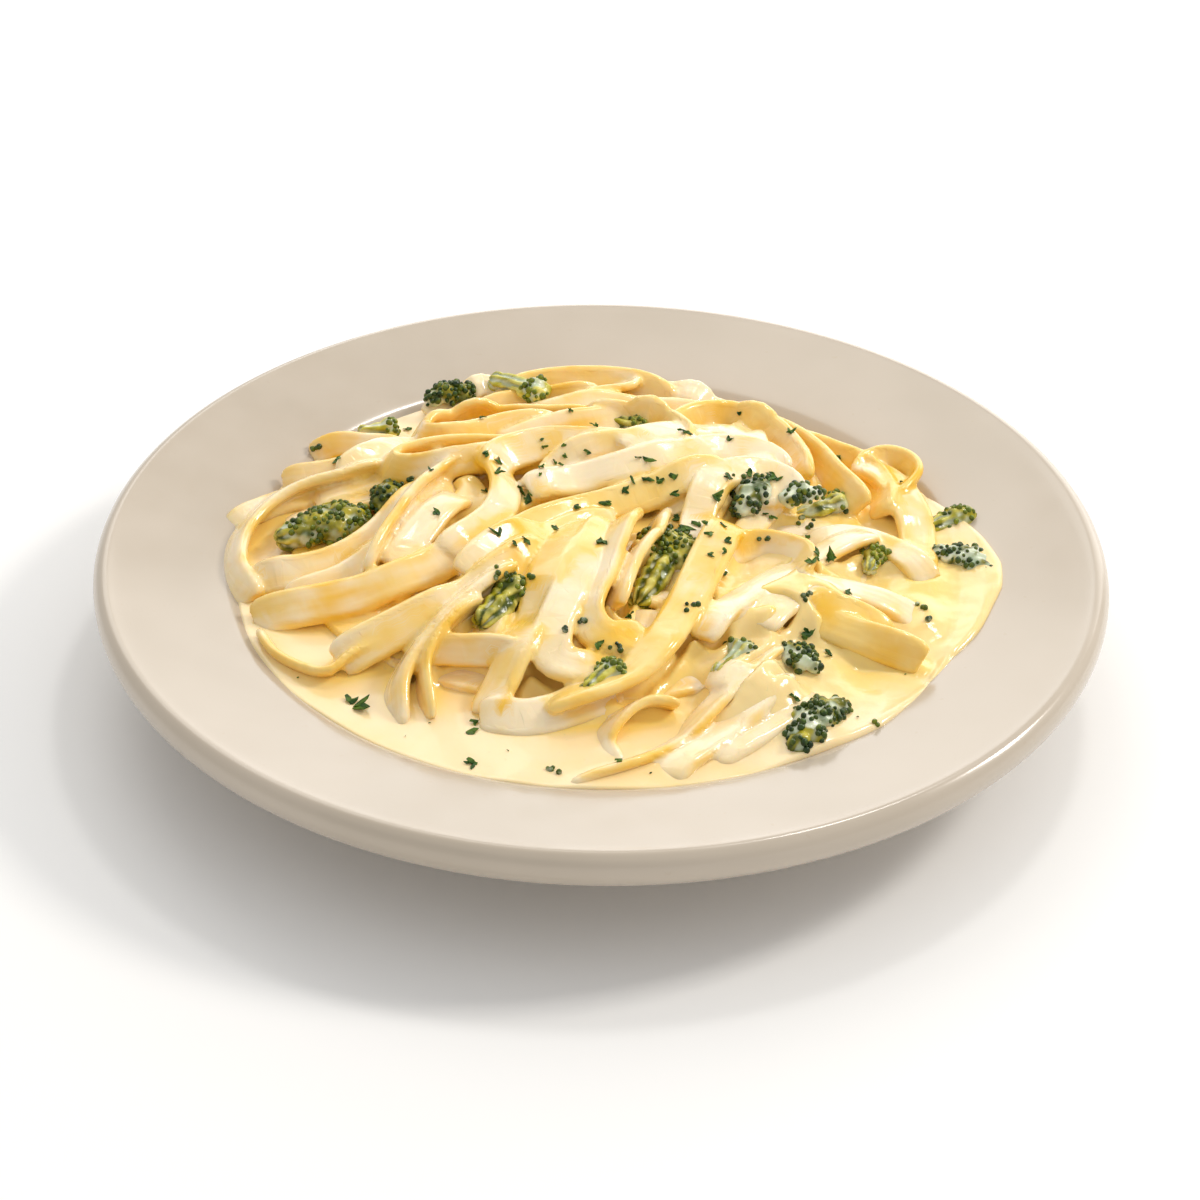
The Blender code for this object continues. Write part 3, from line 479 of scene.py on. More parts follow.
def patchy(points, size, seed):
    """Return smooth noise from -1 to 1 at points in metres; its blotches' size is in mm."""
    scale = 1.0 / (size * MM)
    shift = Vector((seed * 7.1, seed * 3.7, seed * 5.3))
    return np.array([noise.noise(Vector(point) * scale + shift) for point in points])


# ---------------------------------------------------------------- materials

def add_node(tree, kind, sockets=None, **settings):
    """Add a shader node with its settings and its sockets' values."""
    node = tree.nodes.new(kind)
    for key, value in settings.items():
        setattr(node, key, value)
    for key, value in (sockets or {}).items():
        node.inputs[key].default_value = value
    return node


def new_group(name, inputs, outputs):
    """Return a shader node group with its input and output nodes."""
    group = bpy.data.node_groups.new(name, "ShaderNodeTree")
    for label, kind, value in inputs:
        socket = group.interface.new_socket(name=label, in_out="INPUT", socket_type=kind)
        if value is not None:
            socket.default_value = value
    for label, kind in outputs:
        group.interface.new_socket(name=label, in_out="OUTPUT", socket_type=kind)
    return group, group.nodes.new("NodeGroupInput"), group.nodes.new("NodeGroupOutput")


def make_patch_group():
    """A soft blotchy mask with named scale and limits."""
    group, given, result = new_group(
        "soft_patches",
        (("Coordinate", "NodeSocketVector", None), ("Scale", "NodeSocketFloat", 50.0),
         ("Detail", "NodeSocketFloat", 3.0), ("Low", "NodeSocketFloat", 0.4),
         ("High", "NodeSocketFloat", 0.6)),
        (("Mask", "NodeSocketFloat"),))
    cloud = add_node(group, "ShaderNodeTexNoise")
    limits = add_node(group, "ShaderNodeMapRange", interpolation_type="SMOOTHSTEP")
    group.links.new(given.outputs["Coordinate"], cloud.inputs["Vector"])
    group.links.new(given.outputs["Scale"], cloud.inputs["Scale"])
    group.links.new(given.outputs["Detail"], cloud.inputs["Detail"])
    group.links.new(cloud.outputs["Fac"], limits.inputs["Value"])
    group.links.new(given.outputs["Low"], limits.inputs["From Min"])
    group.links.new(given.outputs["High"], limits.inputs["From Max"])
    group.links.new(limits.outputs["Result"], result.inputs["Mask"])
    return group


def make_relief_group():
    """The height of a wet surface: slow ripples with a fine grain on them, in metres."""
    group, given, result = new_group(
        "wet_relief",
        (("Coordinate", "NodeSocketVector", None), ("Ripple Scale", "NodeSocketFloat", 150.0),
         ("Ripple Height", "NodeSocketFloat", 0.0003), ("Grain Scale", "NodeSocketFloat", 900.0),
         ("Grain Height", "NodeSocketFloat", 0.00002)),
        (("Height", "NodeSocketFloat"),))
    parts = []
    for label, detail in (("Ripple", 1.0), ("Grain", 2.0)):
        cloud = add_node(group, "ShaderNodeTexNoise", {"Detail": detail})
        lift = add_node(group, "ShaderNodeMath", operation="MULTIPLY")
        group.links.new(given.outputs["Coordinate"], cloud.inputs["Vector"])
        group.links.new(given.outputs[label + " Scale"], cloud.inputs["Scale"])
        group.links.new(cloud.outputs["Fac"], lift.inputs[0])
        group.links.new(given.outputs[label + " Height"], lift.inputs[1])
        parts.append(lift)
    total = add_node(group, "ShaderNodeMath", operation="ADD")
    group.links.new(parts[0].outputs[0], total.inputs[0])
    group.links.new(parts[1].outputs[0], total.inputs[1])
    group.links.new(total.outputs[0], result.inputs["Height"])
    return group


PATCHES = make_patch_group()
RELIEF = make_relief_group()


class Finish:
    """A material under construction: one Principled shader fed by masks, colours and relief."""

    def __init__(self, name, sockets):
        self.material = bpy.data.materials.new(name)
        self.material.use_nodes = True
        self.tree = self.material.node_tree
        self.shader = self.tree.nodes["Principled BSDF"]
        for label, value in sockets.items():
            self.shader.inputs[label].default_value = value
        self.place = add_node(self.tree, "ShaderNodeTexCoord").outputs["Object"]

    def patches(self, scale, low, high, detail=3.0):
        """Return a blotchy mask."""
        node = add_node(self.tree, "ShaderNodeGroup", node_tree=PATCHES)
        for label, value in (("Scale", scale), ("Low", low), ("High", high), ("Detail", detail)):
            node.inputs[label].default_value = value
        self.tree.links.new(self.place, node.inputs["Coordinate"])
        return node.outputs["Mask"]

    def attribute(self, name):
        """Return a number stored on the mesh's points."""
        return add_node(self.tree, "ShaderNodeAttribute", attribute_name=name).outputs["Fac"]

    def mix(self, first, second, mask):
        """Return one colour laid over another where the mask is 1."""
        node = add_node(self.tree, "ShaderNodeMix", data_type="RGBA")
        for index, colour in ((6, first), (7, second)):
            if isinstance(colour, tuple):
                node.inputs[index].default_value = colour + (1.0,)
            else:
                self.tree.links.new(colour, node.inputs[index])
        self.tree.links.new(mask, node.inputs[0])
        return node.outputs[2]

    def between(self, mask, low, high):
        """Return a number that runs from low to high with the mask."""
        node = add_node(self.tree, "ShaderNodeMapRange", {"To Min": low, "To Max": high})
        self.tree.links.new(mask, node.inputs["Value"])
        return node.outputs["Result"]

    def combine(self, operation, first, second):
        """Return a sum, product or other result of two numbers."""
        node = add_node(self.tree, "ShaderNodeMath", operation=operation, use_clamp=True)
        for index, value in enumerate((first, second)):
            if isinstance(value, float):
                node.inputs[index].default_value = value
            else:
                self.tree.links.new(value, node.inputs[index])
        return node.outputs[0]

    def relief(self, ripple_scale, ripple, grain_scale, grain, share=None):
        """Give the surface its fine relief, in metres, where a share of it is wanted."""
        node = add_node(self.tree, "ShaderNodeGroup", node_tree=RELIEF)
        for label, value in (("Ripple Scale", ripple_scale), ("Ripple Height", ripple),
                             ("Grain Scale", grain_scale), ("Grain Height", grain)):
            node.inputs[label].default_value = value
        bump = add_node(self.tree, "ShaderNodeBump", {"Strength": 1.0, "Distance": 1.0})
        self.tree.links.new(self.place, node.inputs["Coordinate"])
        height = node.outputs["Height"]
        if share is not None:
            height = self.combine("MULTIPLY", height, share)
        self.tree.links.new(height, bump.inputs["Height"])
        self.tree.links.new(bump.outputs["Normal"], self.shader.inputs["Normal"])

    def set(self, label, source):
        """Feed one of the shader's sockets."""
        self.tree.links.new(source, self.shader.inputs[label])


def stoneware_look():
    """Warm grey-white glaze, a little mottled, over a bare foot ring."""
    look = Finish("stoneware_glaze", {"Roughness": 0.22, "IOR": 1.5, "Coat Weight": 0.35,
                                      "Coat Roughness": 0.12})
    glaze = look.mix((0.500, 0.428, 0.340), (0.535, 0.460, 0.370), look.patches(14.0, 0.35, 0.65))
    speck = look.patches(420.0, 0.735, 0.78, 1.0)
    glaze = look.mix(glaze, (0.50, 0.41, 0.31), look.combine("MULTIPLY", speck, 0.35))
    split = add_node(look.tree, "ShaderNodeSeparateXYZ")
    look.tree.links.new(look.place, split.inputs[0])
    foot = add_node(look.tree, "ShaderNodeMapRange", {"From Min": 0.0011, "From Max": 0.0006})
    look.tree.links.new(split.outputs["Z"], foot.inputs["Value"])
    look.set("Base Color", look.mix(glaze, (0.55, 0.45, 0.34), foot.outputs["Result"]))
    rough = look.combine("ADD", look.between(look.patches(60.0, 0.3, 0.7), 0.17, 0.27),
                         look.between(foot.outputs["Result"], 0.0, 0.45))
    look.set("Roughness", rough)
    look.relief(26.0, 0.00022, 520.0, 0.000012)
    return look.material


def sauce_look():
    """Thick glossy cream, pale yellow, with faint richer swirls and painted warm shade near the
    noodles.
    """
    look = Finish("cream_sauce", {"Roughness": 0.2, "IOR": 1.42, "Subsurface Weight": 0.25,
                                  "Subsurface Radius": (1.0, 0.72, 0.36),
                                  "Subsurface Scale": 0.002, "Coat Weight": 0.4,
                                  "Coat Roughness": 0.05})
    cream = look.mix((0.965, 0.750, 0.430), (0.965, 0.700, 0.320), look.patches(38.0, 0.42, 0.70))
    # Painted shade: the cream is mixed towards a darker gold near the noodles and where it lies
    # thick.
    cream = look.mix(cream, (0.97, 0.69, 0.16),
                     look.combine("MULTIPLY", look.attribute("warmth_and_shade"), 0.85))
    cream = look.mix(cream, (0.62, 0.60, 0.30),
                     look.combine("MULTIPLY", look.patches(700.0, 0.70, 0.76, 1.0), 0.22))
    look.set("Base Color", cream)
    look.set("Roughness", look.between(look.patches(90.0, 0.3, 0.7), 0.14, 0.27))
    look.relief(125.0, 0.00110, 650.0, 0.00005, look.attribute("wrinkled"))
    return look.material


def pasta_look():
    """Egg pasta, golden where it is bare and pale where cream clings to it in streaks; painted
    shade in hollows.
    """
    look = Finish("pasta", {"Roughness": 0.24, "IOR": 1.42, "Subsurface Weight": 0.25,
                            "Subsurface Radius": (1.0, 0.72, 0.30), "Subsurface Scale": 0.002,
                            "Coat Weight": 0.45, "Coat Roughness": 0.06})
    strand = add_node(look.tree, "ShaderNodeCombineXYZ")
    for socket, name in (("X", "along"), ("Y", "across")):
        look.tree.links.new(look.attribute(name), strand.inputs[socket])
    straw = look.mix((0.960, 0.700, 0.250), (0.950, 0.630, 0.150), look.patches(110.0, 0.3, 0.75))
    gold = look.mix(straw, (0.920, 0.540, 0.040), look.patches(60.0, 0.38, 0.72))
    cream = look.mix((0.970, 0.800, 0.540), (0.965, 0.735, 0.370), look.patches(75.0, 0.35, 0.75))
    look.place = strand.outputs[0]
    streaks = look.patches(220.0, 0.25, 0.75, 1.5)
    soft = look.combine("ADD", look.attribute("bare"), look.between(streaks, -0.16, 0.12))
    limits = add_node(look.tree, "ShaderNodeMapRange", {"From Min": 0.08, "From Max": 0.68},
                      interpolation_type="SMOOTHSTEP")
    look.tree.links.new(soft, limits.inputs["Value"])
    colour = look.mix(cream, gold, limits.outputs["Result"])
    # Painted shade: the pasta is mixed towards a darker gold in the hollows between the noodles.
    painted_hollow_shade = look.combine("MULTIPLY", look.attribute("painted_hollow_shade"), 0.85)
    look.set("Base Color", look.mix(colour, (0.96, 0.64, 0.075), painted_hollow_shade))
    look.set("Roughness", look.between(streaks, 0.16, 0.30))
    look.relief(270.0, 0.00040, 1500.0, 0.00002, look.attribute("whole"))
    return look.material


def broccoli_look():
    """Yellow-green flesh, blue-green buds, and milky cream between them."""
    look = Finish("broccoli_green", {"Roughness": 0.3, "IOR": 1.42, "Subsurface Weight": 0.15,
                                     "Subsurface Radius": (0.6, 1.0, 0.2),
                                     "Subsurface Scale": 0.0015, "Coat Weight": 0.15,
                                     "Coat Roughness": 0.10, "Specular IOR Level": 0.35})
    green = look.mix((0.200, 0.185, 0.004), (0.500, 0.415, 0.012), look.patches(300.0, 0.38, 0.60))
    pale = look.mix((0.500, 0.450, 0.020), (0.740, 0.680, 0.190), look.patches(240.0, 0.35, 0.65))
    flesh = look.mix(green, pale, look.attribute("pale"))
    flesh = look.mix(flesh, (0.055, 0.080, 0.004), look.attribute("shade"))
    buds = look.mix((0.010, 0.030, 0.007), (0.045, 0.095, 0.012), look.patches(500.0, 0.35, 0.7))
    light_buds = look.mix((0.13, 0.19, 0.015), (0.32, 0.35, 0.02), look.patches(500.0, 0.35, 0.7))
    buds = look.mix(light_buds, buds, look.attribute("dark"))
    colour = look.mix(flesh, buds, look.attribute("bud"))
    film = look.mix((0.43, 0.52, 0.34), (0.84, 0.86, 0.66), look.attribute("film"))
    colour = look.mix(colour, film, look.attribute("cream"))
    look.set("Base Color", colour)
    look.set("Roughness", look.between(look.patches(400.0, 0.3, 0.7), 0.15, 0.32))
    look.relief(420.0, 0.00012, 1800.0, 0.00003)
    return look.material


def parsley_look():
    """Chopped parsley: dark green with lighter torn parts."""
    look = Finish("chopped_parsley", {"Roughness": 0.42, "IOR": 1.4, "Subsurface Weight": 0.1,
                                      "Subsurface Radius": (0.4, 1.0, 0.1),
                                      "Subsurface Scale": 0.0006,
                                      "Specular IOR Level": 0.3})
    leaf = look.mix((0.020, 0.066, 0.008), (0.090, 0.170, 0.018), look.patches(420.0, 0.38, 0.66))
    look.set("Base Color", leaf)
    look.set("Roughness", look.between(look.patches(900.0, 0.3, 0.7), 0.32, 0.5))
    look.relief(900.0, 0.00008, 2600.0, 0.00002)
    return look.material


# ---------------------------------------------------------------- plate

def surface_height(outline, radius):
    """Return the height of a turned outline at radii."""
    return np.interp(radius, *np.transpose(outline))


def make_plate(look):
    """Turn the plate from one smooth outline."""
    outline = list(PLATE_UNDERSIDE) + list(PLATE_RIM) + list(reversed(PLATE_TOP))
    smooth = smooth_curve(outline, OUTLINE_STEPS)
    smooth[:, 0] = np.clip(smooth[:, 0], 0.0, PLATE_RADIUS)
    smooth[:, 1] = np.clip(smooth[:, 1], 0.0, PLATE_HEIGHT)
    bm = bmesh.new()
    verts = [bm.verts.new((radius, 0.0, height)) for radius, height in smooth]
    edges = [bm.edges.new(pair) for pair in zip(verts[:-1], verts[1:])]
    bmesh.ops.spin(bm, geom=verts + edges, cent=(0, 0, 0), axis=(0, 0, 1),
                   angle=math.tau, steps=PLATE_STEPS, use_merge=True)
    bmesh.ops.remove_doubles(bm, verts=bm.verts, dist=MERGE_DISTANCE)
    plate = object_from_bmesh("stoneware_plate", bm)
    plate.data.shade_smooth()
    plate.data.materials.append(look)
    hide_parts("plate")
    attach(plate, "root")
    return plate


# ---------------------------------------------------------------- noodles

def dome_height(x, y, base, peak):
    """Return the height of the smooth dome that the heap follows."""
    across = (np.asarray(x) - DOME_CENTRE[0]) / DOME_RADII[0]
    along = (np.asarray(y) - DOME_CENTRE[1]) / DOME_RADII[1]
    inside = np.clip(1.0 - across ** 2 - along ** 2, 0.0, 1.0)
    return base + (peak - base) * inside ** 0.75


def smooth_route(points):
    """Return evenly spaced stations along a smooth curve through the plan points."""
    dense = smooth_curve([(p[0], p[1], p[2] if len(p) > 2 else 0.0) for p in points], 24)
    lengths = np.concatenate([[0.0], np.cumsum(np.hypot(*np.diff(dense[:, :2], axis=0).T))])
    count = max(4, int(round(lengths[-1] / RIBBON_STEP)) + 1)
    marks = np.linspace(0.0, lengths[-1], count)
    return np.stack([np.interp(marks, lengths, dense[:, axis]) for axis in range(3)], axis=1)


def underlayer(rng, count):
    """Return seeded curved ribbons that fill the heap between the named ones."""
    made = []
    for _ in range(count):
        angle = rng.uniform(0.0, math.tau)
        distance = rng.uniform(*UNDERLAYER_DISTANCE)
        heading = angle + rng.uniform(*UNDERLAYER_TURN)
        bend = rng.uniform(-UNDERLAYER_BEND, UNDERLAYER_BEND)
        x = DOME_CENTRE[0] + distance * math.cos(angle)
        y = DOME_CENTRE[1] + distance * math.sin(angle)
        route = []
        for _ in range(UNDERLAYER_POINTS):
            route.append((x, y))
            x += UNDERLAYER_STRIDE * math.cos(heading)
            y += UNDERLAYER_STRIDE * math.sin(heading)
            heading += bend
        rolls = [rng.uniform(-UNDERLAYER_ROLL, UNDERLAYER_ROLL) for _ in range(2)]
        made.append((UNDERLAYER_WIDTH, *rolls, UNDERLAYER_BARENESS, tuple(route)))
    return made


def field_places():
    """Return the plan places of a field's cells, one millimetre a cell."""
    axis = np.arange(-FIELD_HALF, FIELD_HALF + 1)
    return np.meshgrid(axis, axis, indexing="ij")


def start_field():
    """Return the height field of the core and the plate."""
    x, y = field_places()
    plate = surface_height(PLATE_TOP, np.hypot(x, y))
    core = dome_height(x, y, SAUCE_LEVEL - 2.0, CORE_PEAK - 1.0)
    return np.maximum(np.maximum(plate + GAP, core), SAUCE_LEVEL - 1.0)


def cells(x, y):
    """Return the height field's cell numbers at plan places."""
    column = np.clip(np.rint(x).astype(int) + FIELD_HALF, 0, 2 * FIELD_HALF)
    row = np.clip(np.rint(y).astype(int) + FIELD_HALF, 0, 2 * FIELD_HALF)
    return column, row


def lay_ribbon(field, ribbon):
    """Lay one ribbon on the height field; return its stations, rolls and leftward directions."""
    width, roll_start, roll_end, _, points = ribbon
    stations = smooth_route(points)
    rolls = np.radians(np.linspace(roll_start, roll_end, len(stations)))
    heading = np.gradient(stations[:, :2], axis=0)
    heading /= np.linalg.norm(heading, axis=1)[:, None]
    left = np.stack([-heading[:, 1], heading[:, 0]], axis=1)
    half_width = width / 2.0
    half_thickness = RIBBON_THICKNESS / 2.0
    rests = []
    for across in np.linspace(-1.0, 1.0, FEELERS):
        reach = across * half_width
        spot = stations[:, :2] + (reach * np.cos(rolls))[:, None] * left
        rests.append(field[cells(spot[:, 0], spot[:, 1])] - reach * np.sin(rolls))
    rests = np.array(rests)
    height = (rests.max(axis=0) + rests.mean(axis=0)) / 2.0 + half_thickness - RIBBON_SINK
    for _ in range(RIBBON_STIFFNESS):
        padded = np.concatenate([height[:1], height, height[-1:]])
        height = (padded[:-2] + padded[1:-1] + padded[2:]) / 3.0
    limit = dome_height(stations[:, 0], stations[:, 1], DOME_BASE, DOME_PEAK)
    limit -= half_thickness + ROLLED_SHARE * half_width * np.abs(np.sin(rolls))
    excess = np.maximum(height - limit, 0.0)
    height = np.maximum(height - excess * PRESS_DOWN, stations[:, 2])
    for across in np.linspace(-1.0, 1.0, COVER_ACROSS):
        reach = across * half_width
        top = height + reach * np.sin(rolls) + half_thickness
        for slide in np.linspace(-1.0, 1.0, COVER_ALONG):
            spot = (stations[:, :2] + (reach * np.cos(rolls))[:, None] * left
                    + slide * RIBBON_STEP / 2.0 * heading)
            np.maximum.at(field, cells(spot[:, 0], spot[:, 1]), top)
    stations[:, 2] = height
    return stations, rolls, left


def ribbon_profile():
    """Return a curve object with a noodle's flat section and its rounded edges."""
    profile = bpy.data.curves.new("ribbon_profile", "CURVE")
    profile.dimensions = "2D"
    spline = profile.splines.new("POLY")
    half = 0.5 * VISIBLE_THICKNESS / NOMINAL_WIDTH
    corners = [(side * (0.5 - half + half * math.cos(turn)), side * half * math.sin(turn))
               for side in (-1.0, 1.0) for turn in np.linspace(-math.pi / 2.0, math.pi / 2.0, 5)]
    spline.points.add(len(corners) - 1)
    for point, corner in zip(spline.points, corners):
        point.co = (corner[0] * NOMINAL_WIDTH * MM, corner[1] * NOMINAL_WIDTH * MM, 0.0, 1.0)
    spline.use_cyclic_u = True
    return object_from("ribbon_profile", profile)


def soft_spots(x, y, spots):
    """Return the sum, at plan places, of soft round spots: middle, radius and height of each."""
    total = np.zeros(np.shape(x))
    for middle_x, middle_y, radius, height in spots:
        away = (x - middle_x) ** 2 + (y - middle_y) ** 2
        total = total + height * np.exp(-away / (2.0 * radius * radius))
    return total


def soften_flooded(mesh):
    """Round off the noodles where thick cream covers them."""
    points = points_of(mesh)
    strength = smoothstep(soft_spots(*plan_of(points), FLOODS), *FLOOD_SOFTENING)[:, None]
    for _ in range(SOFTENING_PASSES):
        even = np.stack([blur_over_mesh(mesh, points[:, axis], 1) for axis in range(3)], axis=1)
        points = points + (even - points) * strength
    set_points(mesh, points)


def make_heap_core():
    """Return the smaller core that the noodles lie on: a low dome under the visible ones."""
    bm = bmesh.new()
    bmesh.ops.create_uvsphere(bm, u_segments=64, v_segments=32, radius=1.0)
    for vert in bm.verts:
        flat = math.hypot(vert.co.x, vert.co.y)
        x = DOME_CENTRE[0] + vert.co.x * CORE_RADII[0]
        y = DOME_CENTRE[1] + vert.co.y * CORE_RADII[1]
        top = float(dome_height(x, y, DOME_BASE - CORE_DROP, CORE_PEAK - CORE_DROP))
        vert.co = (x, y, top if vert.co.z > 0.0 and flat < 0.999 else HEAP_FLOOR - CORE_DROP)
    return object_from_bmesh("heap_core", bm)


def shape_spline(spline, ribbon, stations, rolls, phase):
    """Run a spline through a ribbon's stations, with wavy rolls and narrow, sunken ends."""
    last = len(stations) - 1
    spline.points.add(last)
    for index, (point, station, roll) in enumerate(zip(spline.points, stations, rolls)):
        wave = math.sin(phase + index * 0.21) * 0.04
        wave += math.sin(phase * 2.0 + index * 0.53) * 0.02
        from_end = min(index, last - index) * RIBBON_STEP
        narrowing = END_NARROWING * max(0.0, 1.0 - from_end / END_TAPER) ** 2
        sink = END_SINK * max(0.0, 1.0 - from_end / END_SINK_REACH) ** 2
        point.co = (station[0] * MM, station[1] * MM, (station[2] - sink) * MM, 1.0)
        point.tilt = roll + wave
        point.radius = ribbon[0] / NOMINAL_WIDTH * (1.0 + wave * 0.6 - narrowing)


def ribbon_samples(ribbon, stations, rolls, left, phase, taken):
    """Return rows that tell, near a ribbon, where along and across it a point lies.

    A row holds a place, the directions along and across, the length so far, the reach across, and
    the ribbon's width, bareness and phase. Each ribbon's length starts elsewhere, so that no two
    are streaked alike.
    """
    ahead = np.gradient(stations, axis=0)
    ahead /= np.linalg.norm(ahead, axis=1)[:, None]
    aside = np.column_stack([np.cos(rolls)[:, None] * left, np.sin(rolls)])
    length = np.arange(len(stations)) * RIBBON_STEP + STREAK_SHIFT * taken % STREAK_PERIOD
    rows = []
    for place in SAMPLE_PLACES:
        reach = np.full((len(stations), 1), place * ribbon[0])
        extras = np.full((len(stations), 3), (ribbon[0], ribbon[3], phase))
        rows.append(np.hstack([stations + reach * aside, ahead, aside, length[:, None], reach,
                               extras]))
    return rows


def lay_all_ribbons():
    """Lay the filling and the named ribbons; return their mesh and the samples along them."""
    rng = random.Random(11)
    field = start_field()
    profile = ribbon_profile()
    curve = bpy.data.curves.new("ribbons", "CURVE")
    curve.dimensions = "3D"
    curve.twist_mode = "Z_UP"
    curve.bevel_mode = "OBJECT"
    curve.bevel_object = profile
    curve.use_fill_caps = True
    samples = []
    layers = []
    for seed, count in UNDERLAYERS:
        layers += underlayer(random.Random(seed), count)
    for ribbon in layers + list(RIBBONS):
        stations, rolls, left = lay_ribbon(field, ribbon)
        phase = rng.uniform(0.0, math.tau)
        shape_spline(curve.splines.new("POLY"), ribbon, stations, rolls, phase)
        samples += ribbon_samples(ribbon, stations, rolls, left, phase, len(samples))
    source = object_from("ribbons", curve)
    strips = evaluated_mesh(source)
    remove(source)
    remove(profile)
    return strips, np.vstack(samples)


def cut_at_floor(heap):
    """Cut off what lies below the heap's floor, and close the cut."""
    bm = bmesh.new()
    bm.from_mesh(heap.data)
    cut = bmesh.ops.bisect_plane(bm, geom=bm.verts[:] + bm.edges[:] + bm.faces[:],
                                 plane_co=(0, 0, HEAP_FLOOR * MM), plane_no=(0, 0, 1),
                                 clear_inner=True)
    rim = [item for item in cut["geom_cut"] if isinstance(item, bmesh.types.BMEdge)]
    bmesh.ops.holes_fill(bm, edges=rim)
    bm.to_mesh(heap.data)
    bm.free()


def thin_out(heap):
    """Bring the heap down to its number of triangles."""
    thin = heap.modifiers.new("thin", "DECIMATE")
    triangles = sum(len(face.vertices) - 2 for face in heap.data.polygons)
    thin.ratio = min(1.0, HEAP_TRIANGLES / triangles)
    apply_modifiers(heap)


def store_strands(heap, samples):
    """Store each point's place along and across its noodle, and return how bare it is."""
    tree = kdtree.KDTree(len(samples))
    for index, sample in enumerate(samples):
        tree.insert(Vector(sample[:3]), index)
    tree.balance()
    points = points_of(heap.data) / MM
    near = samples[[tree.find(point)[1] for point in points]]
    offset = points - near[:, :3]
    along = near[:, 9] + (offset * near[:, 3:6]).sum(axis=1)
    across = near[:, 10] + (offset * near[:, 6:9]).sum(axis=1)
    width, bareness, phase = near[:, 11:].T
    ends = edges_of(heap.data)
    torn = np.zeros(len(points))
    torn[ends[phase[ends[:, 0]] != phase[ends[:, 1]]].ravel()] = 1.0
    write_attribute(heap.data, "whole", np.clip(
        1.0 - TORN_FADE * blur_over_mesh(heap.data, torn, 3), 0.0, 1.0))
    write_attribute(heap.data, "along", along * MM / STREAK_LENGTH)
    write_attribute(heap.data, "across", across * MM)
    edge = smoothstep(np.abs(across) / width, *EDGE_SHARES)
    return blur_over_mesh(heap.data, bareness + EDGE_BARENESS * edge, 2)


def make_noodles(look):
    """Fuse every ribbon with the core, and return the heap and how bare each place is."""
    strips, samples = lay_all_ribbons()
    core = make_heap_core()
    bm = bmesh.new()
    bm.from_mesh(strips)
    bm.from_mesh(core.data)
    remove(core)
    heap = object_from("fettuccine", mesh_from("noodles", bm))
    fuse(heap, HEAP_VOXEL, 2)
    cut_at_floor(heap)
    thin_out(heap)
    soften_flooded(heap.data)
    heap.data.shade_smooth()
    bare = store_strands(heap, samples)
    heap.data.materials.append(look)
    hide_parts("noodles")
    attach(heap, "root")
    return heap, bare


def tree_of(objects):
    """Return a search tree of the objects' faces, in metres."""
    verts, faces = [], []
    for made in objects:
        start = len(verts)
        verts += [vert.co.copy() for vert in made.data.vertices]
        faces += [[start + index for index in face.vertices] for face in made.data.polygons]
    return BVHTree.FromPolygons(verts, faces)


def heights_over(tree):
    """Return the top height in each cell, and the height below an open gap, in millimetres."""
    size = 2 * FIELD_HALF + 1
    top = np.full((size, size), NO_TOP)
    cap = np.full((size, size), NO_CAP)
    down = Vector((0, 0, -1))
    for column in range(size):
        for row in range(size):
            x, y = column - FIELD_HALF, row - FIELD_HALF
            if x * x + y * y > RAY_REACH ** 2:
                continue
            start = Vector((x, y, RAY_START)) * MM
            hits = []
            while len(hits) < RAY_HITS:
                spot, _, _, _ = tree.ray_cast(start, down)
                if spot is None:
                    break
                hits.append(spot.z / MM)
                start = spot - Vector((0, 0, RAY_STEP * MM))
            if hits:
                top[column, row] = hits[0]
            if len(hits) > 2 and hits[1] - hits[2] > OPEN_GAP:
                cap[column, row] = hits[2] + CAP_RISE
            elif len(hits) == 2 and hits[1] > SAUCE_LEVEL + OPEN_GAP:
                cap[column, row] = SAUCE_LEVEL
    return top, cap


def shifted(field, dx, dy):
    """Return the field moved by whole cells; what leaves at one side enters at the other."""
    return np.roll(np.roll(field, dx, axis=0), dy, axis=1)


def spread(field, radius, pick):
    """Return the greatest or least value within a round reach of each cell."""
    result = field
    for dx in range(-radius, radius + 1):
        for dy in range(-radius, radius + 1):
            if dx * dx + dy * dy <= radius * radius:
                result = pick(result, shifted(field, dx, dy))
    return result


def blur(field, sigma):
    """Blur a field by a bell curve."""
    reach = int(3 * sigma + 1)
    weights = np.exp(-np.arange(-reach, reach + 1) ** 2 / (2.0 * sigma * sigma))
    weights /= weights.sum()
    for axis in (0, 1):
        field = sum(weight * np.roll(field, step - reach, axis=axis)
                    for step, weight in enumerate(weights))
    return field


def filled_field(top):
    """Return the heap's top with the narrow hollows between the noodles filled."""
    wet = np.maximum(top, SAUCE_LEVEL)
    filled = spread(spread(wet, FILL_RADIUS, np.maximum), FILL_RADIUS, np.minimum)
    return blur(filled, FILL_BLUR)


def sauce_field(top, cap, filled):
    """Return the sauce's level in each cell: the pool, and the cream between the noodles."""
    wet = np.maximum(top, SAUCE_LEVEL)
    x, y = field_places()
    drop = FILL_DROP - soft_spots(x, y, FLOODS)
    near = blur(np.minimum(wet, SAUCE_LEVEL + MENISCUS_RISE), MENISCUS_BLUR)
    pool = SAUCE_LEVEL + MENISCUS * (near - SAUCE_LEVEL) + soft_spots(x, y, SKIRTS)
    level = np.maximum(filled - drop, pool)
    ceiling = blur(np.minimum(cap, HIGHEST_CAP), CAP_BLUR)
    level = np.minimum(level, np.maximum(ceiling, pool))
    flat = np.stack([x.ravel(), y.ravel() * FOLD_STRETCH, np.zeros(x.size)], axis=1) * MM
    folds = patchy(flat, FOLD_SIZE, 15).reshape(x.shape)
    open_pool = 1.0 - smoothstep(near, SAUCE_LEVEL + OPEN_POOL[0], SAUCE_LEVEL + OPEN_POOL[1])
    return blur(level, LEVEL_BLUR) + soft_spots(x, y, FOLDS) * folds * open_pool


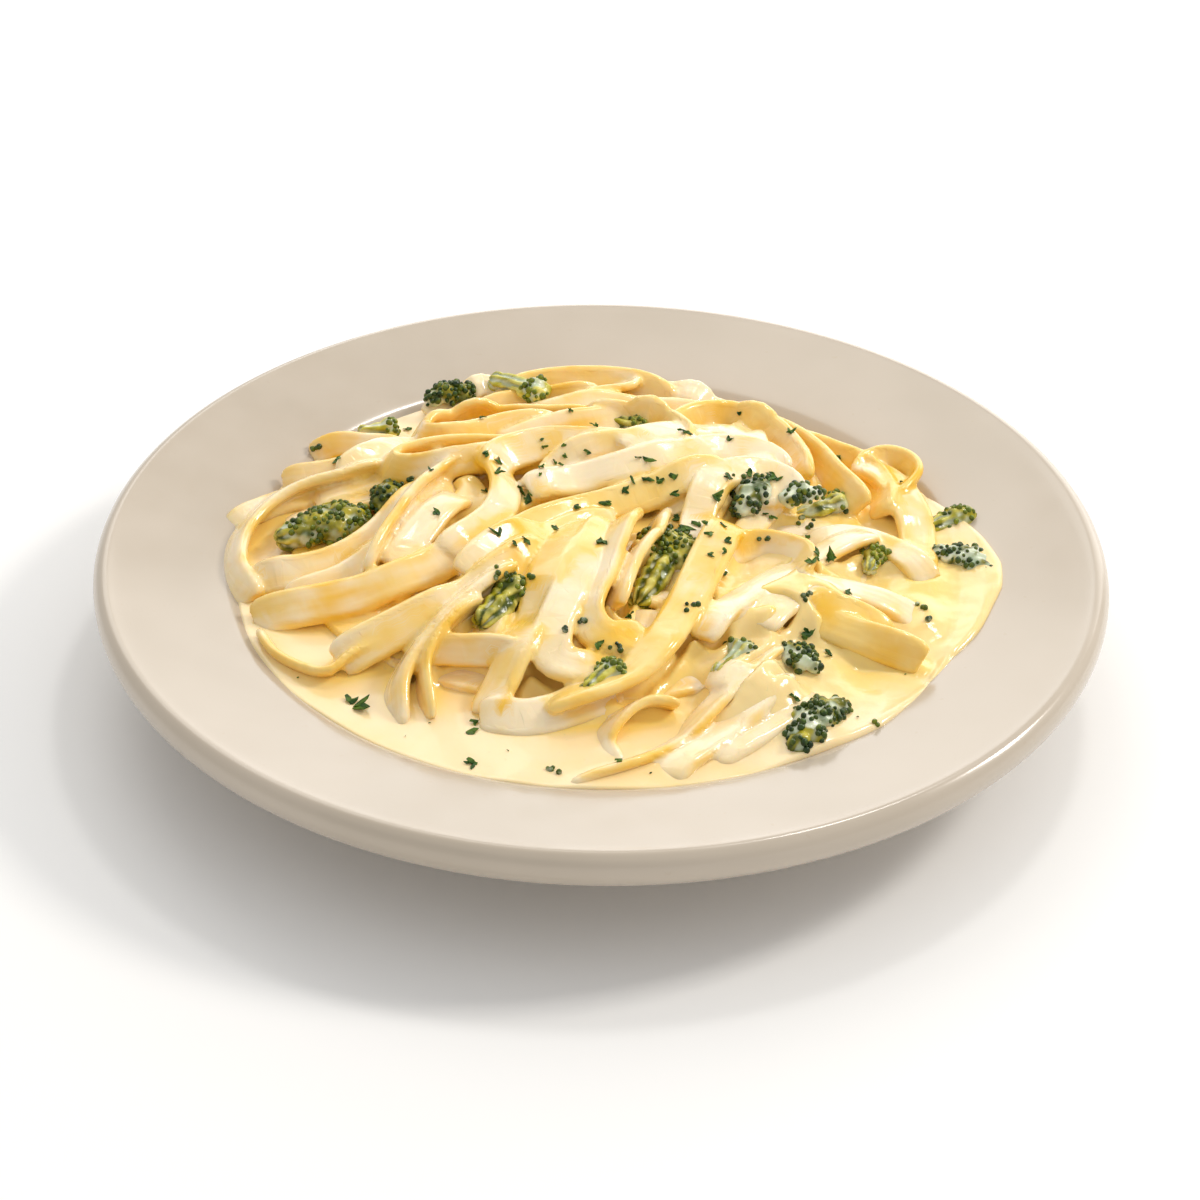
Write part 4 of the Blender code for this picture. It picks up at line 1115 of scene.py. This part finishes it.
def read_field(field, x, y):
    """Return a field's values at plan places, blended between cells."""
    column = np.clip(x + FIELD_HALF, 0, 2 * FIELD_HALF - 0.001)
    row = np.clip(y + FIELD_HALF, 0, 2 * FIELD_HALF - 0.001)
    left, low = column.astype(int), row.astype(int)
    across, along = column - left, row - low
    return ((field[left, low] * (1 - across) + field[left + 1, low] * across) * (1 - along)
            + (field[left, low + 1] * (1 - across) + field[left + 1, low + 1] * across) * along)


def sauce_reach(angle):
    """Return how far out the sauce lies at angles, in millimetres."""
    degrees = np.degrees(angle)
    reach = np.interp(degrees, *np.transpose(SAUCE_REACH))
    wobble = np.sin(angle * 9.0 + 0.6) + 0.6 * np.sin(angle * 23.0 + 2.1)
    return reach + EDGE_WOBBLE * wobble * 0.5


def sauce_disc():
    """Spin a thin disc with a radius and a height of one, with close rings at its edge."""
    shares = np.concatenate([
        np.linspace(0.0, EDGE_RING_START, SAUCE_RINGS),
        1.0 - EDGE_RING_SPAN * (1.0 - np.linspace(0.0, 1.0, EDGE_RINGS)) ** 2])
    bm = bmesh.new()
    chain = [bm.verts.new((share, 0.0, 1.0)) for share in shares]
    chain += [bm.verts.new((share, 0.0, 0.0)) for share in UNDERSIDE_RINGS]
    edges = [bm.edges.new(pair) for pair in zip(chain[:-1], chain[1:])]
    bmesh.ops.spin(bm, geom=chain + edges, cent=(0, 0, 0), axis=(0, 0, 1),
                   angle=math.tau, steps=SAUCE_STEPS, use_merge=True)
    bmesh.ops.remove_doubles(bm, verts=bm.verts, dist=0.00001)
    bmesh.ops.recalc_face_normals(bm, faces=bm.faces)
    return mesh_from("cream_sauce", bm)


def make_sauce(look, level):
    """Press a thin disc into the pool's shape, down to its rounded edge on the plate."""
    mesh = sauce_disc()
    points = points_of(mesh)
    angle = np.arctan2(points[:, 1], points[:, 0])
    is_top = points[:, 2] > 0.5
    reach = sauce_reach(angle)
    radius = np.hypot(points[:, 0], points[:, 1]) * reach
    x, y = radius * np.cos(angle), radius * np.sin(angle)
    plate = surface_height(PLATE_TOP, radius)
    over_rim = smoothstep(reach, WELL_EDGE + OVERFLOW_START[0], WELL_EDGE + OVERFLOW_START[1])
    rounding_width = THIN_EDGE_ROUNDING + (EDGE_ROUNDING - THIN_EDGE_ROUNDING) * over_rim
    inward = np.clip((reach - radius) / rounding_width, 0.0, 1.0)
    rounding = np.sqrt(1.0 - (1.0 - inward) ** 2)
    shelf = plate + OVERFLOW_THICKNESS * over_rim
    pool = read_field(level, x, y)
    ground = 0.5 * (pool + shelf + np.hypot(pool - shelf, OVERFLOW_BLEND * over_rim))
    top = plate - EDGE_DEPTH + (ground - plate + EDGE_DEPTH) * rounding
    bottom = plate - UNDERSIDE_DEPTH
    height = np.where(is_top, np.maximum(top, bottom), bottom)
    set_points(mesh, np.stack([x, y, height], axis=1) * MM)
    mesh.shade_smooth()
    sauce = object_from("cream_sauce_pool", mesh)
    sauce.data.materials.append(look)
    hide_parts("sauce")
    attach(sauce, "root")
    return sauce


def store_pasta_coats(mesh, bare, level, filled):
    """Store how bare of cream the noodles are, partly painted shade on steep sides and golden
    spots, and the painted shade in the hollows between others.
    """
    points = points_of(mesh)
    upward = normals_of(mesh)[:, 2]
    x, y = plan_of(points)
    above = points[:, 2] / MM - read_field(level, x, y)
    blotches = patchy(points, 13.0, 1) * 0.35 + patchy(points, 5.0, 2) * 0.15
    # Steep sides count as barer: partly cream that runs off them, partly painted shade on sides
    # turned from the light.
    steepness = 0.22 * (0.55 - upward)
    wetness = 0.35 * (1.0 - smoothstep(above, 0.2, 2.0))
    value = bare + blotches + soft_spots(x, y, GOLDEN_AND_SHADED) + steepness - wetness
    write_attribute(mesh, "bare", np.clip(value, 0.0, 1.0))
    # Painted shade: how far a point lies below the filled top of the heap, just above the sauce.
    below = read_field(filled, x, y) - points[:, 2] / MM
    painted_hollow_shade = smoothstep(below, 1.5, 6.5) * smoothstep(above, 0.0, 1.5)
    write_attribute(mesh, "painted_hollow_shade", blur_over_mesh(mesh, painted_hollow_shade, 2))


def store_sauce_coats(mesh, level, top):
    """Store where the sauce is painted warmer, as painted shade near the noodles and a warmer tint
    where cream lies thick, and where its surface is wrinkled.
    """
    x, y = plan_of(points_of(mesh))
    # Painted shade: the sauce is tinted warmer close to the noodles that rise above it; also warmer
    # where cream lies thick.
    close = read_field(blur(np.maximum(top - level, 0.0), 3.2), x, y)
    thick = smoothstep(soft_spots(x, y, FLOODS), 0.5, 4.5)
    warmth_and_shade = np.maximum(smoothstep(close, 0.1, 3.0), 0.4 * thick) + soft_spots(x, y, GOLDEN_AND_SHADED)
    write_attribute(mesh, "warmth_and_shade", np.clip(warmth_and_shade, 0.0, 1.0))
    folded = smoothstep(soft_spots(x, y, FOLDS), 0.3, 2.0)
    write_attribute(mesh, "wrinkled", 0.2 + 0.8 * np.maximum(thick, folded))


# ---------------------------------------------------------------- broccoli

def add_bead(bm, place, radius, rng):
    """Add one small bud."""
    squash = Matrix.Diagonal((radius, radius * rng.uniform(0.85, 1.0),
                              radius * rng.uniform(0.9, 1.1), 1.0))
    turn = Matrix.Rotation(rng.uniform(0.0, math.tau), 4, "Z")
    bmesh.ops.create_uvsphere(bm, u_segments=8, v_segments=5, radius=1.0,
                              matrix=Matrix.Translation(place) @ turn @ squash)


def add_limb(bm, start, stop, first_radius, last_radius, rng):
    """Add a chain of overlapping balls from one point to another, like a branch of a stalk."""
    reach = stop - start
    bow = Vector((0.0, rng.uniform(-0.12, 0.12), rng.uniform(0.0, 0.10))) * reach.length
    count = max(3, int(reach.length / (0.45 * min(first_radius, last_radius))))
    for step in range(count + 1):
        share = step / count
        place = start + reach * share + bow * math.sin(math.pi * share)
        radius = first_radius + (last_radius - first_radius) * share
        ball = Matrix.Translation(place)
        bmesh.ops.create_icosphere(bm, subdivisions=2, radius=radius * rng.uniform(0.93, 1.07),
                                   matrix=ball)


def floret_lobes(size, bud_start, rng):
    """Return the middles and radii of a floret's lobes, with the length along X."""
    length, width, height = size
    crown = 1.0 - bud_start
    lobes = []
    for lobe in range(LOBE_COUNT):
        share = (lobe + 0.5) / LOBE_COUNT
        turn = lobe * 2.4 + rng.uniform(-0.35, 0.35)
        reach = math.sqrt(share) * rng.uniform(0.85, 1.1)
        radius = min((0.17 + 0.10 * rng.random()) * width, 0.32 * height)
        middle = Vector((length * (0.5 - 0.47 * crown) + 0.40 * length * crown * reach
                         * math.cos(turn) - radius * 0.6 * bud_start,
                         (0.5 * width - radius) * reach * math.sin(turn),
                         (0.5 * height - radius) * (0.95 - 1.3 * share)))
        lobes.append((middle, radius))
    return lobes


def scatter(points, normals, spacing, rng):
    """Return indices of surface points, not facing down, that keep a distance from each other."""
    order = list(range(len(points)))
    rng.shuffle(order)
    taken = {}
    chosen = []
    for index in order:
        if normals[index][2] <= BUD_LEAST_FACING:
            continue
        cell = tuple(int(math.floor(value / spacing)) for value in points[index])
        near = [other for dx in (-1, 0, 1) for dy in (-1, 0, 1) for dz in (-1, 0, 1)
                for other in taken.get((cell[0] + dx, cell[1] + dy, cell[2] + dz), ())]
        if all(sum((points[index] - points[other]) ** 2) > spacing ** 2 for other in near):
            taken.setdefault(cell, []).append(index)
            chosen.append(index)
    return chosen


def grow_body(name, size, settle, bud_start, rng):
    """Fuse a floret's lobes, trunk and branches into one body."""
    along, across, height = size
    lobes = floret_lobes(size, bud_start, rng)
    bm = bmesh.new()
    for place, radius in lobes:
        swell = Matrix.Diagonal((rng.uniform(0.9, 1.15), rng.uniform(0.9, 1.1), 1.0, 1.0))
        bmesh.ops.create_icosphere(bm, subdivisions=3, radius=radius,
                                   matrix=Matrix.Translation(place) @ swell)
    trunk = min((0.30 if bud_start > 0.4 else 0.22) * across, 0.36 * height)
    root = Vector((trunk - 0.5 * along, 0.0, -0.10 * height))
    fork = Vector((along * (0.7 * bud_start - 0.36), 0.0, -0.06 * height))
    if bud_start > 0.1:
        add_limb(bm, root, fork, trunk, trunk * 1.1, rng)
    for place, radius in lobes:
        add_limb(bm, fork, place, min(trunk, radius) * 0.75, radius * 0.6, rng)
    bmesh.ops.transform(bm, matrix=settle, verts=bm.verts)
    body = object_from_bmesh(name.replace("broccoli", "floret"), bm)
    fuse(body, FLORET_VOXEL, 2)
    return body


def emboss(mesh, local, size, bud_start):
    """Rib the stalk and roughen the rest; return the ribs, and the bumps in millimetres."""
    along, _, height = size
    points = points_of(mesh)
    round_stalk = np.arctan2(local[:, 2] + 0.1 * height, local[:, 1])
    ribs = np.sin(STALK_RIBS * round_stalk + 1.5 * patchy(points, 6.0, 16))
    ribs *= 1.0 - smoothstep(local[:, 0], along * (bud_start - 0.6), along * (bud_start - 0.35))
    bumps = patchy(points, 2.4, 3) * 0.6 + patchy(points, 5.0, 4) * 0.6 + RIB_HEIGHT * ribs
    set_points(mesh, points + normals_of(mesh) * bumps[:, None] * MM)
    return ribs, bumps


def add_buds(mesh, local, facing, settle, first, cream, rng):
    """Sink buds into a floret's body from a place along it on, and return the tone of each."""
    points = points_of(mesh)
    ragged = patchy(points, 3.0, 11) * 3.0
    thin = patchy(points, 4.4, 12) * 1.2 + (patchy(points, 1.1, 14) > 0.25)
    keep = (local[:, 0] + ragged > first) & (thin < 0.26 - 0.50 * cream)
    spots, toward = local[keep], facing[keep]
    buds = bmesh.new()
    tones = []
    for index in scatter(spots, toward, BUD_RADIUS * BUD_SPACING, rng):
        radius = BUD_RADIUS * rng.choice(BUD_SIZES)
        add_bead(buds, Vector(spots[index] - toward[index] * radius * 0.05), radius, rng)
        tones.append(rng.uniform(-0.55, 0.25))
    bmesh.ops.transform(buds, matrix=settle, verts=buds.verts)
    beads = object_from_bmesh("buds", buds)
    joined = bmesh.new()
    joined.from_mesh(mesh)
    joined.from_mesh(beads.data)
    joined.to_mesh(mesh)
    joined.free()
    remove(beads)
    return tones


def make_floret(name, look):
    """Build one floret: branches and lobes fused together, with buds sunk into them."""
    direction, bud_start, dark, cream, pale = FLORETS[name]
    low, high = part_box(name)
    rng = random.Random(name)
    middle = (low + high) / (2.0 * MM) + Vector((0.0, 0.0, RAISED.get(name, 0.0)))
    spans = (high - low) / MM
    angle = math.radians(direction)
    height = spans.z * 1.02
    along = max(spans.x * abs(math.cos(angle)) + spans.y * abs(math.sin(angle)), 8.0)
    across = along * 0.62 if along > 16.0 else along * 0.74
    size = (along, across, height)
    settle = Matrix.Translation(middle) @ Matrix.Rotation(angle, 4, "Z")
    back = np.array(Matrix.Rotation(angle, 3, "Z"))
    body = grow_body(name, size, settle, bud_start, rng)
    flesh_count = len(body.data.vertices)
    local = (points_of(body.data) / MM - np.array(middle)) @ back
    ribs, bumps = emboss(body.data, local, size, bud_start)
    facing = normals_of(body.data) @ back
    first = -0.5 * along + bud_start * along
    tones = add_buds(body.data, local, facing, settle, first, cream, rng)
    points = points_of(body.data)
    bud_points = len(points) - flesh_count
    is_bud = (np.arange(len(points)) >= flesh_count).astype(float)
    local = (points / MM - np.array(middle)) @ back
    toward_tip = smoothstep(local[:, 0], first - 2.0, first + 4.0)
    tone = np.concatenate([np.zeros(flesh_count), np.repeat(tones, BUD_POINTS)])
    ribs = np.concatenate([ribs, np.zeros(bud_points)])
    valley = np.concatenate([-bumps, np.full(bud_points, -0.2)])
    lower = 1.0 - smoothstep(local[:, 2], -0.30 * height, 0.0)
    coat = 1.6 * cream - 0.45 + 0.9 * valley + 0.5 * patchy(points, 7.0, 7) + 0.3 * lower
    looks = {
        "bud": is_bud,
        "dark": dark + 0.1 + tone,
        # shade: painted shade in the ribs' grooves, over a darker tone on dark florets; pale: the
        # ribs' crests are painted light.
        "shade": dark * 1.2 - 0.5 + patchy(points, 3.0, 13) + 1.1 * np.maximum(-ribs, 0.0),
        "pale": pale + (1.0 - toward_tip) * 0.2 + 0.6 * ribs + patchy(points, 4.0, 6) * 0.5,
        "cream": smoothstep(coat, 0.0, 0.4) * (1.0 - is_bud * 0.985),
        "film": 0.45 + patchy(points, 4.0, 8) * 0.9,
    }
    for label, values in looks.items():
        write_attribute(body.data, label, np.clip(values, 0.0, 1.0))
    body.data.shade_smooth()
    body.data.materials.append(look)
    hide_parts(name)
    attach(body, "root")
    return body


# ---------------------------------------------------------------- parsley and loose buds

def add_flake(bm, place, facing, size, rng):
    """Add one torn flake of leaf: a few narrow leaflets that fan out from one point."""
    turn = facing.to_track_quat("Z", "Y").to_matrix().to_4x4()
    settle = Matrix.Translation(place) @ turn @ Matrix.Rotation(rng.uniform(0, math.tau), 4, "Z")
    count = rng.choice((1, 2, 2, 3)) if size > 2.0 else 1
    for leaflet in range(count):
        shape = bmesh.ops.create_circle(bm, cap_ends=True, cap_tris=True, segments=7, radius=0.5)
        for vert in shape["verts"]:
            vert.co *= rng.uniform(0.6, 1.25)
            vert.co.z += rng.uniform(-0.10, 0.16)
        faces = list({face for vert in shape["verts"] for face in vert.link_faces})
        raised = bmesh.ops.extrude_face_region(bm, geom=faces)
        top = [item for item in raised["geom"] if isinstance(item, bmesh.types.BMVert)]
        bmesh.ops.translate(bm, vec=(0, 0, 0.10), verts=top)
        length = size * rng.uniform(0.50, 0.95)
        shrink = Matrix.Diagonal((length, size * rng.uniform(0.20, 0.42), min(size, 2.4), 1.0))
        lean = Matrix.Rotation(rng.uniform(-0.45, 0.10), 4, "Y")
        fan = Matrix.Rotation((leaflet - count / 2.0) * rng.uniform(0.7, 1.3), 4, "Z")
        matrix = settle @ fan @ lean @ Matrix.Translation((0.32 * length, 0.0, 0.0)) @ shrink
        bmesh.ops.transform(bm, matrix=matrix, verts=shape["verts"] + top)


def landing(tree, x, y):
    """Return where something that falls from over a place on the dome lands, and the facing."""
    start = Vector((x, y, float(dome_height(x, y, DOME_BASE, DOME_PEAK)))) * MM
    start -= LANDING_SLANT * LANDING_START * MM
    spot, facing, _, _ = tree.ray_cast(start, LANDING_SLANT)
    if facing.z < 0.0:
        facing = -facing
    facing = (facing + Vector((0, 0, 0.4))).normalized()
    return spot / MM, facing


def make_parsley(look, tree):
    """Scatter the chopped parsley."""
    rng = random.Random(5)
    bm = bmesh.new()
    for x, y, size in PARSLEY:
        place, facing = landing(tree, x, y)
        add_flake(bm, place + facing * 0.12, facing, size * 1.45, rng)
        if size > 3.2:
            shift = Vector((rng.uniform(-1, 1), rng.uniform(-1, 1), 0.0)).normalized() * size * 0.42
            place, facing = landing(tree, x + shift.x, y + shift.y)
            add_flake(bm, place + facing * 0.2, facing, size * 0.85, rng)
    parsley = object_from_bmesh("chopped_parsley", bm)
    parsley.data.materials.append(look)
    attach(parsley, "root")
    return parsley


def make_loose_buds(look, tree):
    """Scatter small clusters of loose buds in the sauce."""
    rng = random.Random(6)
    bm = bmesh.new()
    for x, y, count, reach in LOOSE_BUDS:
        for _ in range(count):
            spot = (x + rng.uniform(-reach, reach) / 1.4, y + rng.uniform(-reach, reach) / 1.4)
            place, _ = landing(tree, *spot)
            add_bead(bm, place + Vector((0, 0, rng.uniform(-0.1, 0.35))),
                     rng.uniform(0.55, 1.0), rng)
    loose = object_from_bmesh("loose_buds", bm)
    points = points_of(loose.data)
    for label, value in (("bud", 1.0), ("pale", 0.0), ("shade", 1.0), ("film", 0.5)):
        write_attribute(loose.data, label, np.full(len(points), value))
    write_attribute(loose.data, "dark", np.clip(0.7 + patchy(points, 9.0, 9), 0.0, 1.0))
    write_attribute(loose.data, "cream", np.clip(patchy(points, 1.5, 10) * 1.6 - 0.3, 0.0, 0.8))
    loose.data.shade_smooth()
    loose.data.materials.append(look)
    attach(loose, "root")
    return loose


# ---------------------------------------------------------------- studio

def make_floor():
    """Lay a plain pale floor under the plate."""
    bm = bmesh.new()
    bmesh.ops.create_grid(bm, x_segments=1, y_segments=1, size=3000.0)
    floor = object_from_bmesh("studio_floor", bm)
    look = Finish("studio_floor", {"Roughness": 0.7})
    look.set("Base Color", look.mix((0.90, 0.90, 0.90), (0.93, 0.93, 0.93),
                                    look.patches(1.5, 0.3, 0.7)))
    floor.data.materials.append(look.material)


def add_light(name, turn, rise, distance, size, power, colour):
    """Hang one soft panel of light that faces the food, by its bearing and height in degrees."""
    data = bpy.data.lights.new(name, "AREA")
    data.shape = "RECTANGLE"
    data.size, data.size_y = size
    data.energy = power
    data.color = colour
    light = object_from(name, data)
    turn, rise = math.radians(turn), math.radians(rise)
    outward = Vector((math.cos(turn) * math.cos(rise), math.sin(turn) * math.cos(rise),
                      math.sin(rise)))
    light.location = outward * distance
    light.rotation_euler = outward.to_track_quat("Z", "Y").to_euler()


def make_studio():
    """Set the lights, the sky and the camera."""
    scene = bpy.context.scene
    world = bpy.data.worlds.new("studio")
    scene.world = world
    world.use_nodes = True
    sky = world.node_tree.nodes["Background"]
    sky.inputs["Color"].default_value = SKY_COLOUR
    sky.inputs["Strength"].default_value = SKY_STRENGTH
    for light in LIGHTS:
        add_light(*light)
    scene.view_settings.view_transform = "Standard"
    elevation = math.radians(CAMERA_ELEVATION)
    aim = Vector((0, 0, AIM_HEIGHT))
    place = aim + CAMERA_DISTANCE * Vector((0, -math.cos(elevation), math.sin(elevation)))
    forward = (aim - place).normalized()
    right = Vector((1, 0, 0))
    up = right.cross(forward)
    roll = math.radians(CAMERA_ROLL)
    side = math.cos(roll) * right + math.sin(roll) * up
    head = math.cos(roll) * up - math.sin(roll) * right
    data = bpy.data.cameras.new("camera")
    data.lens = CAMERA_LENS
    data.sensor_width = CAMERA_SENSOR
    data.shift_x, data.shift_y = CAMERA_SHIFT
    camera = object_from("camera", data)
    matrix = Matrix((side, head, -forward)).transposed().to_4x4()
    matrix.translation = place
    camera.matrix_world = matrix
    scene.camera = camera


# ---------------------------------------------------------------- build

def build():
    """Make every piece and the studio round them."""
    make_studio()
    make_floor()
    make_plate(stoneware_look())
    heap, bare = make_noodles(pasta_look())
    green = broccoli_look()
    florets = [make_floret(name, green) for name in FLORETS]
    top, cap = heights_over(tree_of([heap]))
    filled = filled_field(top)
    level = sauce_field(top, cap, filled)
    sauce = make_sauce(sauce_look(), level)
    store_pasta_coats(heap.data, bare, level, filled)
    store_sauce_coats(sauce.data, level, top)
    surface = tree_of([heap, sauce] + florets)
    make_parsley(parsley_look(), surface)
    make_loose_buds(green, surface)


build()
